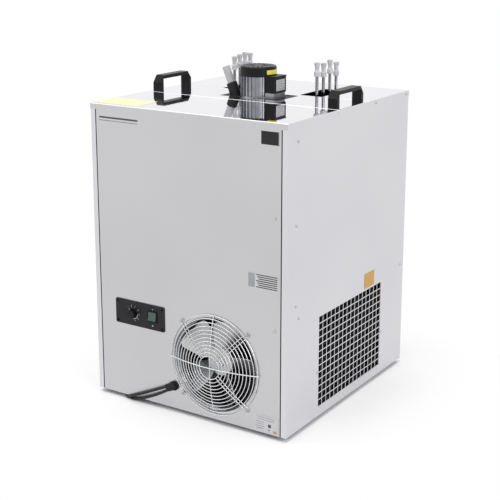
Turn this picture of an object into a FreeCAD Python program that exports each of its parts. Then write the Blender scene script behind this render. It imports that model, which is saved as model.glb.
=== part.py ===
import FreeCAD, Part

import math
import os
import re

import Sketcher
from FreeCAD import Placement, Rotation, Vector

# Under-counter beer cooler with an ice bank, a cooling bath and a pump motor on top
# X runs to the right along the front, Y runs to the back, Z is up, and the feet stand on Z = 0.
# The origin lies on the floor under the middle of the cabinet.

doc = FreeCAD.newDocument("beer_cooler")
sheet = doc.addObject("Spreadsheet::Sheet", "Sizes")
names = []
parts = {}


def add_sizes(title, values):
    """Write one block of named sizes into the sheet, in millimetres, degrees or plain counts."""
    row = len(names) + 1
    sheet.set(f"C{row}", title)
    for name, number in values.items():
        names.append(name)
        row = len(names)
        sheet.set(f"A{row}", name)
        sheet.set(f"B{row}", str(number))
        sheet.setAlias(f"B{row}", name)
    sheet.recompute()


def linked(expression):
    """Turn the bare size names in an expression into references to the sheet."""
    return re.sub(r"[a-z][a-z0-9_]*", lambda m: "Sizes." + m[0] if m[0] in names else m[0], expression)


def value(expression):
    """The number that an expression in size names gives now."""
    return float(sheet.evalExpression(linked(expression)))


def bind(thing, **expressions):
    """Bind properties to size expressions; base_x, base_y and base_z stand for the placement."""
    for key, expression in expressions.items():
        if key.startswith("base_"):
            key = "Placement.Base." + key[-1]
        thing.setExpression(key, linked(expression))
    return thing


def keep(thing, name):
    """Give a finished sub-part its label and list it for export."""
    thing.Label = name
    parts[name] = thing
    return thing


def new_body(name):
    """An empty body that becomes the sub-part of that name."""
    return keep(doc.addObject("PartDesign::Body", name), name)


def new_sketch(body, role, level, name):
    """A sketch on one of the body's own origin planes, lifted along the plane's normal."""
    sketch = body.newObject("Sketcher::SketchObject", name)
    plane = [one for one in body.Origin.OriginFeatures if one.Role == role][0]
    sketch.AttachmentSupport = (plane, [""])
    sketch.MapMode = "FlatFace"
    sketch.setExpression("AttachmentOffset.Base.z", linked(level))
    return sketch


def draw_outline(sketch, points):
    """Draw one closed outline of straight edges, each corner bound to two expressions."""
    places = [Vector(value(across), value(up), 0) for across, up in points]
    first = sketch.GeometryCount
    total = len(points)
    for index in range(total):
        sketch.addGeometry(Part.LineSegment(places[index], places[(index + 1) % total]))
    for index in range(total):
        after = first + (index + 1) % total
        sketch.addConstraint(Sketcher.Constraint("Coincident", first + index, 2, after, 1))
    for index, (across, up) in enumerate(points):
        for kind, expression, number in (
            ("DistanceX", across, places[index].x),
            ("DistanceY", up, places[index].y),
        ):
            label = f"{kind[-1].lower()}{first + index}"
            place = sketch.addConstraint(Sketcher.Constraint(kind, first + index, 1, number))
            sketch.renameConstraint(place, label)
            sketch.setExpression("Constraints." + label, linked(expression))


def draw_circle(sketch, across, up, radius):
    """Draw one circle, its centre and radius bound to expressions."""
    centre = Vector(value(across), value(up), 0)
    index = sketch.addGeometry(Part.Circle(centre, Vector(0, 0, 1), value(radius)))
    for kind, expression, number in (("DistanceX", across, centre.x), ("DistanceY", up, centre.y)):
        label = f"c{kind[-1].lower()}{index}"
        place = sketch.addConstraint(Sketcher.Constraint(kind, index, 3, number))
        sketch.renameConstraint(place, label)
        sketch.setExpression("Constraints." + label, linked(expression))
    place = sketch.addConstraint(Sketcher.Constraint("Radius", index, value(radius)))
    sketch.renameConstraint(place, f"r{index}")
    sketch.setExpression(f"Constraints.r{index}", linked(radius))


def outline(body, role, points, level="0", name="Outline"):
    """A sketch that holds one closed outline."""
    sketch = new_sketch(body, role, level, name)
    draw_outline(sketch, points)
    return sketch


def rectangle(low_x, low_y, high_x, high_y):
    """The four corners of a rectangle, as pairs of expressions."""
    return [(low_x, low_y), (high_x, low_y), (high_x, high_y), (low_x, high_y)]


def circles(body, role, places, level="0", name="Circles"):
    """A sketch that holds circles, each given as across, up and radius."""
    sketch = new_sketch(body, role, level, name)
    for across, up, radius in places:
        draw_circle(sketch, across, up, radius)
    return sketch


def pad(body, sketch, length, reverse=False, both=False):
    """Raise a sketch into a solid by a length, to either side of it if asked."""
    feature = body.newObject("PartDesign::Pad", "Pad")
    feature.Profile = sketch
    feature.Reversed = reverse
    feature.SideType = "Symmetric" if both else "One side"
    feature.setExpression("Length", linked(length))
    return feature


def pocket(body, sketch, length, reverse=False, both=False):
    """Cut a sketch into the solid by a length."""
    feature = body.newObject("PartDesign::Pocket", "Pocket")
    feature.Profile = sketch
    feature.Reversed = reverse
    feature.SideType = "Symmetric" if both else "One side"
    feature.setExpression("Length", linked(length))
    return feature


def turned(name, points):
    """A body turned about its own Z axis from an outline of radius and height."""
    body = new_body(name)
    sketch = outline(body, "XZ_Plane", points)
    feature = body.newObject("PartDesign::Revolution", "Revolution")
    feature.Profile = sketch
    feature.ReferenceAxis = (sketch, ["V_Axis"])
    feature.Angle = 360
    return body


def around(body, features, count):
    """Repeat features round the body's Z axis."""
    pattern = body.newObject("PartDesign::PolarPattern", "PolarPattern")
    pattern.Originals = features
    axis = [one for one in body.Origin.OriginFeatures if one.Role == "Z_Axis"][0]
    pattern.Axis = (axis, [""])
    pattern.Angle = 360
    pattern.setExpression("Occurrences", linked(count))
    body.Tip = pattern
    return pattern


def place(thing, x="0", y="0", z="0", turn=None):
    """Set a sub-part down at a bound place, turned if asked."""
    if turn:
        thing.Placement = Placement(Vector(0, 0, 0), turn)
    return bind(thing, base_x=x, base_y=y, base_z=z)


def feature(name, shape):
    """A sub-part whose shape is worked out here from the sheet's sizes."""
    thing = doc.addObject("Part::Feature", name)
    thing.Shape = shape
    return keep(thing, name)


def bent_path(points, radius):
    """Straight runs joined by tangent arcs of one radius, or of a radius for each corner."""
    radii = radius if isinstance(radius, list) else [radius] * (len(points) - 2)
    edges = []
    start = points[0]
    for index, bend in enumerate(radii, 1):
        corner = points[index]
        back = (points[index - 1] - corner).normalize()
        ahead = (points[index + 1] - corner).normalize()
        half = math.acos(max(-1, min(1, back.dot(ahead)))) / 2
        reach = bend / math.tan(half)
        middle = (back + ahead).normalize()
        centre = corner + middle * (bend / math.sin(half))
        enter = corner + back * reach
        leave = corner + ahead * reach
        if start.distanceToPoint(enter) > bend / 1000:
            edges.append(Part.LineSegment(start, enter).toShape())
        edges.append(Part.Arc(enter, centre - middle * bend, leave).toShape())
        start = leave
    edges.append(Part.LineSegment(start, points[-1]).toShape())
    return Part.Wire(edges)


def rod_along(path, radius):
    """A round rod of one radius along a path."""
    first = path.Edges[0]
    low = first.FirstParameter
    ring = Part.Wire([Part.Circle(first.valueAt(low), first.tangentAt(low), radius).toShape()])
    return path.makePipeShell([ring], True, False)


def tube_along(path, radius, wall):
    """A round tube along a path."""
    return rod_along(path, radius).cut(rod_along(path, radius - wall))


# Cabinet
add_sizes("cabinet", {
    "body_width": 560,
    "body_depth": 604,
    "body_height": 740,
    "foot_height": 11,
    "panel_wall": 1.2,
    "lid_wall": 1.2,
    "lid_lip": 15,
    "lid_gap": 0.3,
    "seam_gap": 1,
    "bridge_depth": 154,
    "side_flange": 13.5,
    "front_gap": 3,
    "seat_depth": 6,
    "seat_width": 34,
    "rear_flange": 20,
    "top_flange": 24,
    "overrun": 5,
})
half_width = "body_width / 2"
half_depth = "body_depth / 2"
top = "(foot_height + body_height)"
under_lid = "(foot_height + body_height - lid_wall)"
panel_height = "(body_height - lid_wall)"
inner_width = "(body_width / 2 - panel_wall)"
inner_front = "(0 - body_depth / 2 + seat_depth + panel_wall)"
inner_back = "(body_depth / 2 - 2 * panel_wall)"
front_face = "(0 - body_depth / 2)"


def mirrored(points, side):
    """The same outline on the other side of the middle plane, where side is -1."""
    if side > 0:
        return points
    return [(f"0 - ({across})", along) for across, along in points]


# Handles lift the cabinet by the bridge, so their screws pass the bridge and the side panels
add_sizes("handles", {
    "handle_length": 132,
    "handle_width": 26,
    "handle_height": 40,
    "handle_leg": 12,
    "handle_bar": 9,
    "handle_chamfer": 14,
    "handle_chamfer_drop": 18,
    "handle_edge": 1.5,
    "handle_inset": 22,
    "handle_screw_radius": 2.5,
    "handle_screw_head": 4.2,
    "handle_screw_head_height": 2.6,
    "handle_screw_grip": 14,
    "hole_gap": 0.2,
})
handle_x = "(body_width / 2 - handle_inset)"
handle_screw_y = "(handle_length / 2 - handle_leg / 2)"
handle_holes = [
    (f"{side} * {handle_x}", f"{end} * {handle_screw_y}", "handle_screw_radius + hole_gap")
    for side in ("1", "(0 - 1)") for end in ("1", "(0 - 1)")
]

# Places on the right side panel, as distance back from the middle and height above the panel's foot
add_sizes("side grille", {
    "grille_front": -152,
    "grille_back": 172,
    "grille_low": 23,
    "grille_high": 254,
    "grille_border": 14,
    "grille_wall": 1.5,
    "grille_bar": 2.2,
    "grille_rows": 13,
    "grille_columns": 16,
    "grille_screw_out": 6,
    "grille_screw_up": 114,
    "small_screw_radius": 1.8,
    "small_screw_head": 3.4,
    "small_screw_head_height": 1.6,
    "small_screw_spare": 3,
})


def side_panel(name, side):
    """A folded side sheet: face, stepped front flange, rear flange and the flange that carries the lids."""
    body = new_body(name)
    step_x = "body_width / 2 - side_flange"
    step_y = "0 - body_depth / 2 + seat_depth"
    plan = outline(body, "XY_Plane", mirrored([
        (half_width, "0 - body_depth / 2"),
        (half_width, half_depth),
        ("body_width / 2 - rear_flange", half_depth),
        ("body_width / 2 - rear_flange", "body_depth / 2 - panel_wall"),
        ("body_width / 2 - panel_wall", "body_depth / 2 - panel_wall"),
        ("body_width / 2 - panel_wall", "0 - body_depth / 2 + panel_wall"),
        (step_x + " + panel_wall", "0 - body_depth / 2 + panel_wall"),
        (step_x + " + panel_wall", step_y + " + panel_wall"),
        (step_x + " - seat_width", step_y + " + panel_wall"),
        (step_x + " - seat_width", step_y),
        (step_x, step_y),
        (step_x, "0 - body_depth / 2"),
    ], side), "foot_height", "FoldedSheet")
    pad(body, plan, panel_height)
    shelf = outline(body, "XY_Plane", mirrored(rectangle(
        "body_width / 2 - top_flange", "0 - body_depth / 2 + seat_depth",
        "body_width / 2 - panel_wall", "body_depth / 2 - panel_wall",
    ), side), under_lid, "TopFlange")
    pad(body, shelf, "panel_wall", reverse=True)
    holes = [one for one in handle_holes if one[0].startswith("1") == (side > 0)]
    pocket(body, circles(body, "XY_Plane", holes, under_lid, "HandleHoles"), "panel_wall + overrun")
    if side > 0:
        window = outline(body, "YZ_Plane", rectangle(
            "grille_front", "foot_height + grille_low", "grille_back", "foot_height + grille_high",
        ), half_width, "GrilleWindow")
        pocket(body, window, "panel_wall + overrun")
    return body


side_panel("right_side_panel", 1)
side_panel("left_side_panel", -1)

# Base tray between the side panels, with its edge turned up
add_sizes("base tray, deck and back", {
    "tray_wall": 1.5,
    "tray_edge": 21,
    "deck_height": 275,
    "deck_edge": 20,
    "duct_depth": 26,
    "duct_width": 120,
    "duct_left": 150,
    "vent_width": 150,
    "vent_height": 6,
    "vent_pitch": 14,
    "vent_count": 8,
    "vent_low": 90,
    "vent_side": 110,
})


def pan(name, foot, depth, floor, upward):
    """A square pan between the panels, its edge turned up or down."""
    body = new_body(name)
    edge = outline(body, "XY_Plane", rectangle(
        f"0 - {inner_width}", inner_front, inner_width, inner_back), foot, "Sheet")
    pad(body, edge, depth)
    hollow = outline(body, "XY_Plane", rectangle(
        f"0 - {inner_width} + {floor}", f"{inner_front} + {floor}",
        f"{inner_width} - {floor}", f"{inner_back} - {floor}",
    ), f"{foot} + {floor}" if upward else f"{foot} + {depth} - {floor}", "Hollow")
    pocket(body, hollow, f"{depth} - {floor} + overrun", reverse=upward)
    return body


tray = pan("base_tray", "foot_height", "tray_edge", "tray_wall", True)
pocket(tray, outline(tray, "YZ_Plane", rectangle(
    "grille_front - grille_border - hole_gap", "foot_height + grille_low - grille_border / 2 - hole_gap",
    "grille_back + grille_border + hole_gap", "foot_height + grille_high",
), inner_width, "GrilleNotch"), "tray_wall + overrun / 10")
deck = pan("tank_deck", "foot_height + deck_height - deck_edge", "deck_edge", "tray_wall", False)
pocket(deck, outline(deck, "YZ_Plane", rectangle(
    "grille_front - grille_border - hole_gap", "foot_height + grille_low",
    "grille_back + grille_border + hole_gap", "foot_height + grille_high + grille_border / 2 + hole_gap",
), inner_width, "GrilleNotch"), "tray_wall + overrun / 10")
pipe_slot = outline(deck, "XY_Plane", rectangle(
    "0 - duct_left", f"{inner_back} - duct_depth",
    "0 - duct_left + duct_width", f"{inner_back} - tray_wall",
), "foot_height + deck_height", "PipeSlot")
pocket(deck, pipe_slot, "tray_wall + overrun")

back = new_body("back_panel")
pad(back, outline(back, "XZ_Plane", rectangle(
    f"0 - {inner_width}", "foot_height", inner_width, f"{under_lid} - panel_wall",
), f"0 - {inner_back}", "Sheet"), "panel_wall", reverse=True)
vent = pocket(back, outline(back, "XZ_Plane", rectangle(
    "0 - vent_side - vent_width / 2", "foot_height + vent_low",
    "0 - vent_side + vent_width / 2", "foot_height + vent_low + vent_height",
), f"0 - {inner_back}", "Vent"), "2 * panel_wall + overrun", both=True)
rows = back.newObject("PartDesign::LinearPattern", "LinearPattern")
rows.Originals = [vent]
rows.Direction = ([one for one in back.Origin.OriginFeatures if one.Role == "Z_Axis"][0], [""])
rows.Mode = "Spacing"
bind(rows, Offset="vent_pitch", Occurrences="vent_count")
back.Tip = rows

# Feet: four rubber pads under the tray
add_sizes("feet", {
    "foot_radius": 20,
    "foot_taper": 3,
    "foot_inset": 48,
    "foot_edge": 1.5,
})


def feet_shape():
    """Four tapered rubber pads."""
    radius = value("foot_radius")
    pads = []
    for side in (1, -1):
        for end in (1, -1):
            centre = Vector(
                side * (value(half_width) - value("foot_inset")), end * (value(half_depth) - value("foot_inset")), 0)
            pad_shape = Part.makeCone(radius - value("foot_taper"), radius, value("foot_height"), centre)
            edge = min(pad_shape.Edges, key=lambda one: one.BoundBox.ZMax)
            pads.append(pad_shape.makeFillet(value("foot_edge"), [edge]))
    return Part.makeCompound(pads)


feature("feet", feet_shape())

# Front panel: one flat sheet that hooks behind the left flange and is screwed on the right
add_sizes("front panel", {
    "fan_across": 80,
    "fan_up": 139,
    "fan_hole_radius": 118,
    "guard_bolt_reach": 132.5,
    "guard_bolt_radius": 2,
    "gland_across": -39,
    "gland_up": 59,
    "gland_bore": 8,
    "panel_top_gap": 0.6,
    "front_screw_inset": 17,
    "front_screw_low": 257.5,
    "front_screw_high": 522,
    "front_screw_radius": 2,
    "front_screw_head": 4.2,
    "front_screw_head_height": 2.4,
    "seal_width": 13.5,
    "hook_low": 120,
    "hook_high": 600,
    "hook_height": 40,
    "hook_inset": 26,
    "hook_grip": 12,
    "hook_wall": 1.2,
    "panel_return": 4.5,
    "return_inset": 44,
})
add_sizes("control plate", {
    "control_across": -141.5,
    "control_up": 223,
    "control_width": 151,
    "control_height": 64,
    "control_wall": 2,
    "control_corner": 4,
    "knob_across": -21,
    "switch_across": 39.5,
    "switch_up": 2.5,
    "switch_body": 25.4,
    "spindle_hole": 5,
    "rivet_inset": 7,
    "rivet_radius": 1.4,
    "rivet_head": 2.6,
    "rivet_head_height": 1.1,
    "rivet_length": 6,
})
fan_z = "(foot_height + fan_up)"
knob_x = "(control_across + knob_across)"
knob_z = "(foot_height + control_up)"
switch_x = "(control_across + switch_across)"
switch_z = "(foot_height + control_up + switch_up)"
gland_z = "(foot_height + gland_up)"
panel_edge = "(body_width / 2 - side_flange - front_gap)"
front_screw_x = f"({panel_edge} - front_screw_inset)"
diagonal_share = math.sqrt(0.5)
guard_bolts = [(across * diagonal_share, up * diagonal_share) for across in (1, -1) for up in (1, -1)]


def square(across, up, size):
    """The corners of a square about a centre."""
    return rectangle(
        f"{across} - {size} / 2", f"{up} - {size} / 2", f"{across} + {size} / 2", f"{up} + {size} / 2")


front = new_body("front_panel")
pad(front, outline(front, "XZ_Plane", rectangle(
    f"0 - {panel_edge}", "foot_height", panel_edge, f"{under_lid} - panel_top_gap",
), half_depth, "Sheet"), "panel_wall", reverse=True)
front_holes = [
    ("fan_across", fan_z, "fan_hole_radius"),
    ("gland_across", gland_z, "gland_bore + hole_gap"),
    (knob_x, knob_z, "spindle_hole"),
    (front_screw_x, "foot_height + front_screw_low", "front_screw_radius + hole_gap"),
    (front_screw_x, "foot_height + front_screw_high", "front_screw_radius + hole_gap"),
] + [
    (f"fan_across + {across} * guard_bolt_reach", f"{fan_z} + {up} * guard_bolt_reach",
     "guard_bolt_radius + hole_gap")
    for across, up in guard_bolts
]
pocket(front, circles(front, "XZ_Plane", front_holes, half_depth, "Holes"), "panel_wall + overrun")
seat_side = parts["right_side_panel"]
pocket(seat_side, circles(seat_side, "XZ_Plane", [
    (front_screw_x, f"foot_height + {up}", "front_screw_radius + hole_gap")
    for up in ("front_screw_low", "front_screw_high")
], half_depth, "FrontScrewHoles"), "seat_depth + 2 * panel_wall")
pocket(front, outline(front, "XZ_Plane", square(
    switch_x, switch_z, "(switch_body + 2 * hole_gap)"), half_depth, "SwitchHole"), "panel_wall + overrun")
pad(front, outline(front, "XZ_Plane", rectangle(
    f"return_inset - {panel_edge}", "foot_height",
    f"{panel_edge} - return_inset", "foot_height + panel_wall",
), "body_depth / 2 - panel_wall", "BottomReturn"), "panel_return", reverse=True)
for hook_low in ("hook_low", "hook_high"):
    stem_x = f"hook_inset + side_flange + front_gap - {panel_edge}"
    pad(front, outline(front, "XZ_Plane", rectangle(
        stem_x, f"foot_height + {hook_low}",
        f"{stem_x} + hook_wall", f"foot_height + {hook_low} + hook_height",
    ), "body_depth / 2 - panel_wall", "HookStem"), "seat_depth + panel_wall + hole_gap", reverse=True)
    pad(front, outline(front, "XZ_Plane", rectangle(
        f"{stem_x} - hook_grip", f"foot_height + {hook_low}",
        f"{stem_x} + hook_wall", f"foot_height + {hook_low} + hook_height",
    ), "body_depth / 2 - seat_depth - panel_wall - hole_gap", "HookTongue"), "hook_wall", reverse=True)

# Black foam strips close the gap beside the front panel
seals = []
for side in (1, -1):
    strip = doc.addObject("Part::Box", "SealStrip")
    bind(
        strip, Length="seal_width", Width="seat_depth - panel_wall", Height="body_height - lid_wall - panel_top_gap",
        base_x="body_width / 2 - side_flange - seal_width" if side > 0 else "side_flange - body_width / 2",
        base_y="panel_wall - body_depth / 2", base_z="foot_height",
    )
    seals.append(strip)
seal_pair = doc.addObject("Part::Compound", "panel_seals")
seal_pair.Links = seals
keep(seal_pair, "panel_seals")


def screw(head, head_height, shank, length, rounding=0.35):
    """A pan-head screw that points down its own Z axis, its head standing on Z = 0."""
    cap = Part.makeCylinder(head, head_height)
    rim = [one for one in cap.Edges if one.BoundBox.ZMin > head_height / 2 and one.Closed]
    cap = cap.makeFillet(head_height * rounding, rim)
    return cap.fuse(Part.makeCylinder(shank, length, Vector(0, 0, 0), Vector(0, 0, -1)))


def group(name, one, spots):
    """One node that holds the same small piece at several places, each a place and an outward direction."""
    copies = []
    for spot, outward in spots:
        copy = one.copy()
        copy.Placement = Placement(spot, Rotation(Vector(0, 0, 1), outward))
        copies.append(copy)
    return feature(name, Part.makeCompound(copies))


to_front = Vector(0, -1, 0)
to_right = Vector(1, 0, 0)
to_left = Vector(-1, 0, 0)
upward = Vector(0, 0, 1)
downward = Vector(0, 0, -1)

fasteners = []


def fasten(one, spots):
    """Add copies of one fastener to the group that holds the cabinet's screws and rivets."""
    for spot, outward in spots:
        copy = one.copy()
        copy.Placement = Placement(spot, Rotation(Vector(0, 0, 1), outward))
        fasteners.append(copy)


fasten(screw(
    value("front_screw_head"), value("front_screw_head_height"),
    value("front_screw_radius"), value("seat_depth + panel_wall"),
), [
    (Vector(value(front_screw_x), value(front_face), value(f"foot_height + {up}")), to_front)
    for up in ("front_screw_low", "front_screw_high")
])


# Top: a front lid that lifts off, a fixed bridge that carries the motor, and a screwed rear cover
add_sizes("top", {
    "cutout_left": -81.5,
    "cutout_right": 92,
    "cutout_front": -38,
    "cutout_back": 61,
    "notch_across": 117.25,
    "notch_width": 64.5,
    "notch_depth": 126,
    "bridge_web": 13,
    "bridge_web_gap": 2,
    "cover_screw_front": 115,
    "cover_screw_back": 286,
    "cover_screw_down": 8,
})
outer_lip = "(body_width / 2 + lid_gap + lid_wall)"
inner_lip = "(body_width / 2 + lid_gap)"


def folded_plate(name, low_y, high_y, front_lip, back_lip):
    """A top plate with lips turned down outside the cabinet at its sides and, if asked, its ends."""
    body = new_body(name)
    plate = outline(body, "XY_Plane", rectangle(f"0 - {outer_lip}", low_y, outer_lip, high_y), top, "Plate")
    pad(body, plate, "lid_lip", reverse=True)
    front_edge = f"{low_y} + lid_wall" if front_lip else f"{low_y} - overrun"
    back_edge = f"{high_y} - lid_wall" if back_lip else f"{high_y} + overrun"
    hollow = outline(body, "XY_Plane", rectangle(
        f"0 - {inner_lip}", front_edge, inner_lip, back_edge), under_lid, "Hollow")
    pocket(body, hollow, "lid_lip + overrun")
    return body


folded_plate(
    "front_lid", "0 - body_depth / 2 - lid_gap - lid_wall", "0 - bridge_depth / 2 - seam_gap / 2", True, False)
bridge = folded_plate(
    "top_bridge", "seam_gap / 2 - bridge_depth / 2", "bridge_depth / 2 - seam_gap / 2", False, False)
for edge in ("seam_gap / 2 - bridge_depth / 2", "bridge_depth / 2 - seam_gap / 2 - lid_wall"):
    web_x = "(body_width / 2 - top_flange - bridge_web_gap)"
    web = outline(bridge, "XY_Plane", rectangle(
        f"0 - {web_x}", edge, web_x, f"{edge} + lid_wall"), under_lid, "Web")
    pad(bridge, web, "bridge_web", reverse=True)
pocket(bridge, outline(bridge, "XY_Plane", rectangle(
    "cutout_left", "cutout_front", "cutout_right", "cutout_back"), top, "MotorCutout"), "lid_wall + overrun")
pocket(bridge, circles(bridge, "XY_Plane", handle_holes, top, "HandleHoles"), "lid_wall + overrun")

cover = folded_plate(
    "rear_cover", "bridge_depth / 2 + seam_gap / 2", "body_depth / 2 + lid_gap + lid_wall", False, True)
for side in ("1", "(0 - 1)"):
    notch = outline(cover, "XY_Plane", rectangle(
        f"{side} * notch_across - notch_width / 2", "bridge_depth / 2 - overrun",
        f"{side} * notch_across + notch_width / 2", "bridge_depth / 2 + notch_depth",
    ), top, "Notch")
    pocket(cover, notch, "lid_wall + overrun")


handle = new_body("handle")
side_view = outline(handle, "YZ_Plane", [
    ("0 - handle_length / 2", "0"),
    ("handle_leg - handle_length / 2", "0"),
    ("handle_leg - handle_length / 2", "handle_height - handle_bar"),
    ("handle_length / 2 - handle_leg", "handle_height - handle_bar"),
    ("handle_length / 2 - handle_leg", "0"),
    ("handle_length / 2", "0"),
    ("handle_length / 2", "handle_height - handle_chamfer_drop"),
    ("handle_length / 2 - handle_chamfer", "handle_height"),
    ("handle_chamfer - handle_length / 2", "handle_height"),
    ("0 - handle_length / 2", "handle_height - handle_chamfer_drop"),
], name="SideView")
strap = pad(handle, side_view, "handle_width", both=True)
doc.recompute()
rounding = handle.newObject("PartDesign::Fillet", "RoundedEdges")
rounding.Base = (strap, [
    f"Edge{index}" for index, edge in enumerate(strap.Shape.Edges, 1)
    if edge.BoundBox.XLength < value("handle_edge") and edge.BoundBox.ZMax > value("handle_height") / 2
])
bind(rounding, Radius="handle_edge")
pocket(handle, circles(handle, "XY_Plane", [
    ("0", f"{end} * {handle_screw_y}", "handle_screw_radius") for end in ("1", "(0 - 1)")
], name="ScrewHoles"), "handle_screw_grip", reverse=True)
del parts["handle"]
pair = []
for side in ("1", "(0 - 1)"):
    link = doc.addObject("Part::Compound", "HandleCopy")
    link.Links = [handle]
    pair.append(bind(link, base_x=f"{side} * {handle_x}", base_z=top))
handles = doc.addObject("Part::Compound", "handles")
handles.Links = pair
keep(handles, "handles")
fasten(screw(
    value("handle_screw_head"), value("handle_screw_head_height"), value("handle_screw_radius"),
    value("handle_screw_grip + lid_wall + panel_wall"),
), [
    (Vector(value(across), value(along), value(f"{under_lid} - panel_wall")), downward)
    for across, along, radius in handle_holes
])


def small_screw(grip):
    """A small domed screw or rivet that is as long as the sheets it joins."""
    return screw(
        value("small_screw_head"), value("small_screw_head_height"), value("small_screw_radius"), value(grip))


cover_spots = [(along, f"{top} - cover_screw_down") for along in ("cover_screw_front", "cover_screw_back")]

# Side grille: a holed sheet behind the window, held by a screw at each end
grille_ends = ("grille_front - grille_screw_out", "grille_back + grille_screw_out")


def grille_shape():
    """A flat sheet with rows of oblong holes, drawn as one face with many inner wires."""
    low = Vector(0, value("grille_front"), value("foot_height + grille_low"))
    high = Vector(0, value("grille_back"), value("foot_height + grille_high"))
    rows = round(value("grille_rows"))
    columns = round(value("grille_columns"))
    bar = value("grille_bar")
    border = value("grille_border")
    step_y = (high.y - low.y) / columns
    step_z = (high.z - low.z) / rows

    def loop(y_low, z_low, y_high, z_high):
        corners = [(y_low, z_low), (y_high, z_low), (y_high, z_high), (y_low, z_high), (y_low, z_low)]
        return Part.makePolygon([Vector(0, across, up) for across, up in corners])

    face = Part.Face([loop(low.y - border, low.z - border / 2, high.y + border, high.z + border / 2)] + [
        loop(
            low.y + column * step_y + bar / 2, low.z + line * step_z + bar / 2,
            low.y + (column + 1) * step_y - bar / 2, low.z + (line + 1) * step_z - bar / 2,
        )
        for column in range(columns) for line in range(rows)
    ])
    face.validate()
    sheet_shape = face.extrude(Vector(value("grille_wall"), 0, 0))
    sheet_shape.translate(Vector(value(f"{inner_width} - grille_wall"), 0, 0))
    screw_z = value("foot_height + grille_screw_up")
    return sheet_shape.cut(Part.makeCompound([
        Part.makeCylinder(
            value("small_screw_radius + hole_gap"), value("body_width"), Vector(0, value(along), screw_z), to_right)
        for along in grille_ends
    ]))


feature("side_grille", grille_shape())
add_sizes("side screws", {
    "side_screw_high": 694,
    "side_screw_high_back": -257.5,
    "side_screw_middle": 502,
    "side_screw_middle_back": -262,
    "side_screw_low": 311,
    "side_screw_low_back": -261,
    "side_screw_deck": 278,
    "side_screw_deck_back": -247,
    "side_screw_rear": 273,
    "side_screw_rear_back": 285,
})
side_spots = [
    (f"side_screw_{mark}_back", f"foot_height + side_screw_{mark}")
    for mark in ("high", "middle", "low", "deck", "rear")
]
grille_spots = [(along, "foot_height + grille_screw_up") for along in grille_ends]
sides = (
    (1, to_right, parts["right_side_panel"], side_spots + cover_spots + grille_spots),
    (-1, to_left, parts["left_side_panel"], side_spots + cover_spots),
)
for side, outward, panel, spots in sides:
    for sheet_body, level, holes in (
            (panel, f"{side} * {half_width}", spots), (cover, f"{side} * {outer_lip}", cover_spots)):
        pocket(sheet_body, circles(sheet_body, "YZ_Plane", [
            (along, up, "small_screw_radius + hole_gap") for along, up in holes
        ], level, "ScrewHoles"), "2 * panel_wall", reverse=side < 0)
    for holes, face, grip in (
            (side_spots, half_width, "panel_wall"),
            (cover_spots, outer_lip, "lid_wall + lid_gap + panel_wall"),
            (grille_spots if side > 0 else [], half_width, "panel_wall + grille_wall + small_screw_spare")):
        fasten(small_screw(grip), [
            (Vector(side * value(face), value(along), value(up)), outward) for along, up in holes
        ])

# Water bath: a tank in a foam jacket that stands on the deck
add_sizes("water bath", {
    "tank_width": 476,
    "tank_depth": 500,
    "tank_wall": 1.2,
    "tank_rim": 12,
    "tank_floor_foam": 25,
    "rim_down": 15,
})
bath_foot = "(foot_height + deck_height)"
tank_low = "(foot_height + deck_height + tank_floor_foam)"
rim_z = "(foot_height + body_height - rim_down)"
foam_back = f"({inner_back} - duct_depth)"
tank_y = f"(({inner_front} + {foam_back}) / 2)"


def tank_side(grow):
    """The four corners of the tank's plan, moved outwards by a length."""
    return rectangle(
        f"0 - tank_width / 2 - {grow}", f"{tank_y} - tank_depth / 2 - {grow}",
        f"tank_width / 2 + {grow}", f"{tank_y} + tank_depth / 2 + {grow}")


tank = new_body("water_tank")
pad(tank, outline(tank, "XY_Plane", tank_side("0"), tank_low, "Wall"), f"{rim_z} - {tank_low}")
pad(tank, outline(tank, "XY_Plane", tank_side("tank_rim"), rim_z, "Rim"), "tank_wall", reverse=True)
pocket(
    tank, outline(tank, "XY_Plane", tank_side("(0 - tank_wall)"), f"{tank_low} + tank_wall", "Hollow"),
    "body_height", reverse=True)

foam = new_body("tank_insulation")
pad(foam, outline(foam, "XY_Plane", rectangle(
    f"0 - {inner_width}", f"{inner_front} + hook_wall + hole_gap", inner_width, foam_back), bath_foot, "Block"),
    f"{rim_z} - tank_wall - {bath_foot}")
pocket(
    foam, outline(foam, "XY_Plane", tank_side("0"), tank_low, "TankSeat"), "body_height", reverse=True)

# Beer lines: four steel tubes, each one unbroken from its inlet on the left, down through its own
# coil and up to its outlet on the right
add_sizes("beer lines", {
    "line_radius": 4,
    "line_wall": 0.6,
    "line_across": 124.5,
    "line_first": 94,
    "inlet_pitch": 25,
    "outlet_pitch": 33,
    "line_turns": 3,
    "turn_pitch": 11,
    "coil_pitch": 62,
    "coil_top": 600,
    "coil_half_width": 185,
    "coil_half_depth": 216,
    "coil_bend": 42,
    "riser_bend": 22,
    "line_grip": 13,
    "fitting_height": 35,
    "fitting_collar": 7.75,
    "fitting_collar_height": 13,
    "fitting_neck": 5.5,
    "fitting_cup": 8,
    "fitting_cup_height": 14,
    "fitting_bore": 4.8,
    "fitting_bore_depth": 17,
    "fitting_edge": 1.2,
    "inlet_top_1": 82,
    "inlet_top_2": 85,
    "inlet_top_3": 88,
    "inlet_top_4": 84,
    "outlet_top_1": 82,
    "outlet_top_2": 77.5,
    "outlet_top_3": 82.5,
    "outlet_top_4": 73.5,
})
line_count = 4


def line_y(side, index):
    """How far back the riser with this number stands; side is -1 at the inlets."""
    pitch = "inlet_pitch" if side < 0 else "outlet_pitch"
    return value("line_first") + index * value(pitch)


def line_end(side, index):
    """The mouth of the fitting on one end of a beer line; side is -1 at the inlet."""
    kind = "inlet" if side < 0 else "outlet"
    height = value(f"{top} + {kind}_top_{index + 1}")
    return Vector(side * value("line_across"), line_y(side, index), height)


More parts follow.
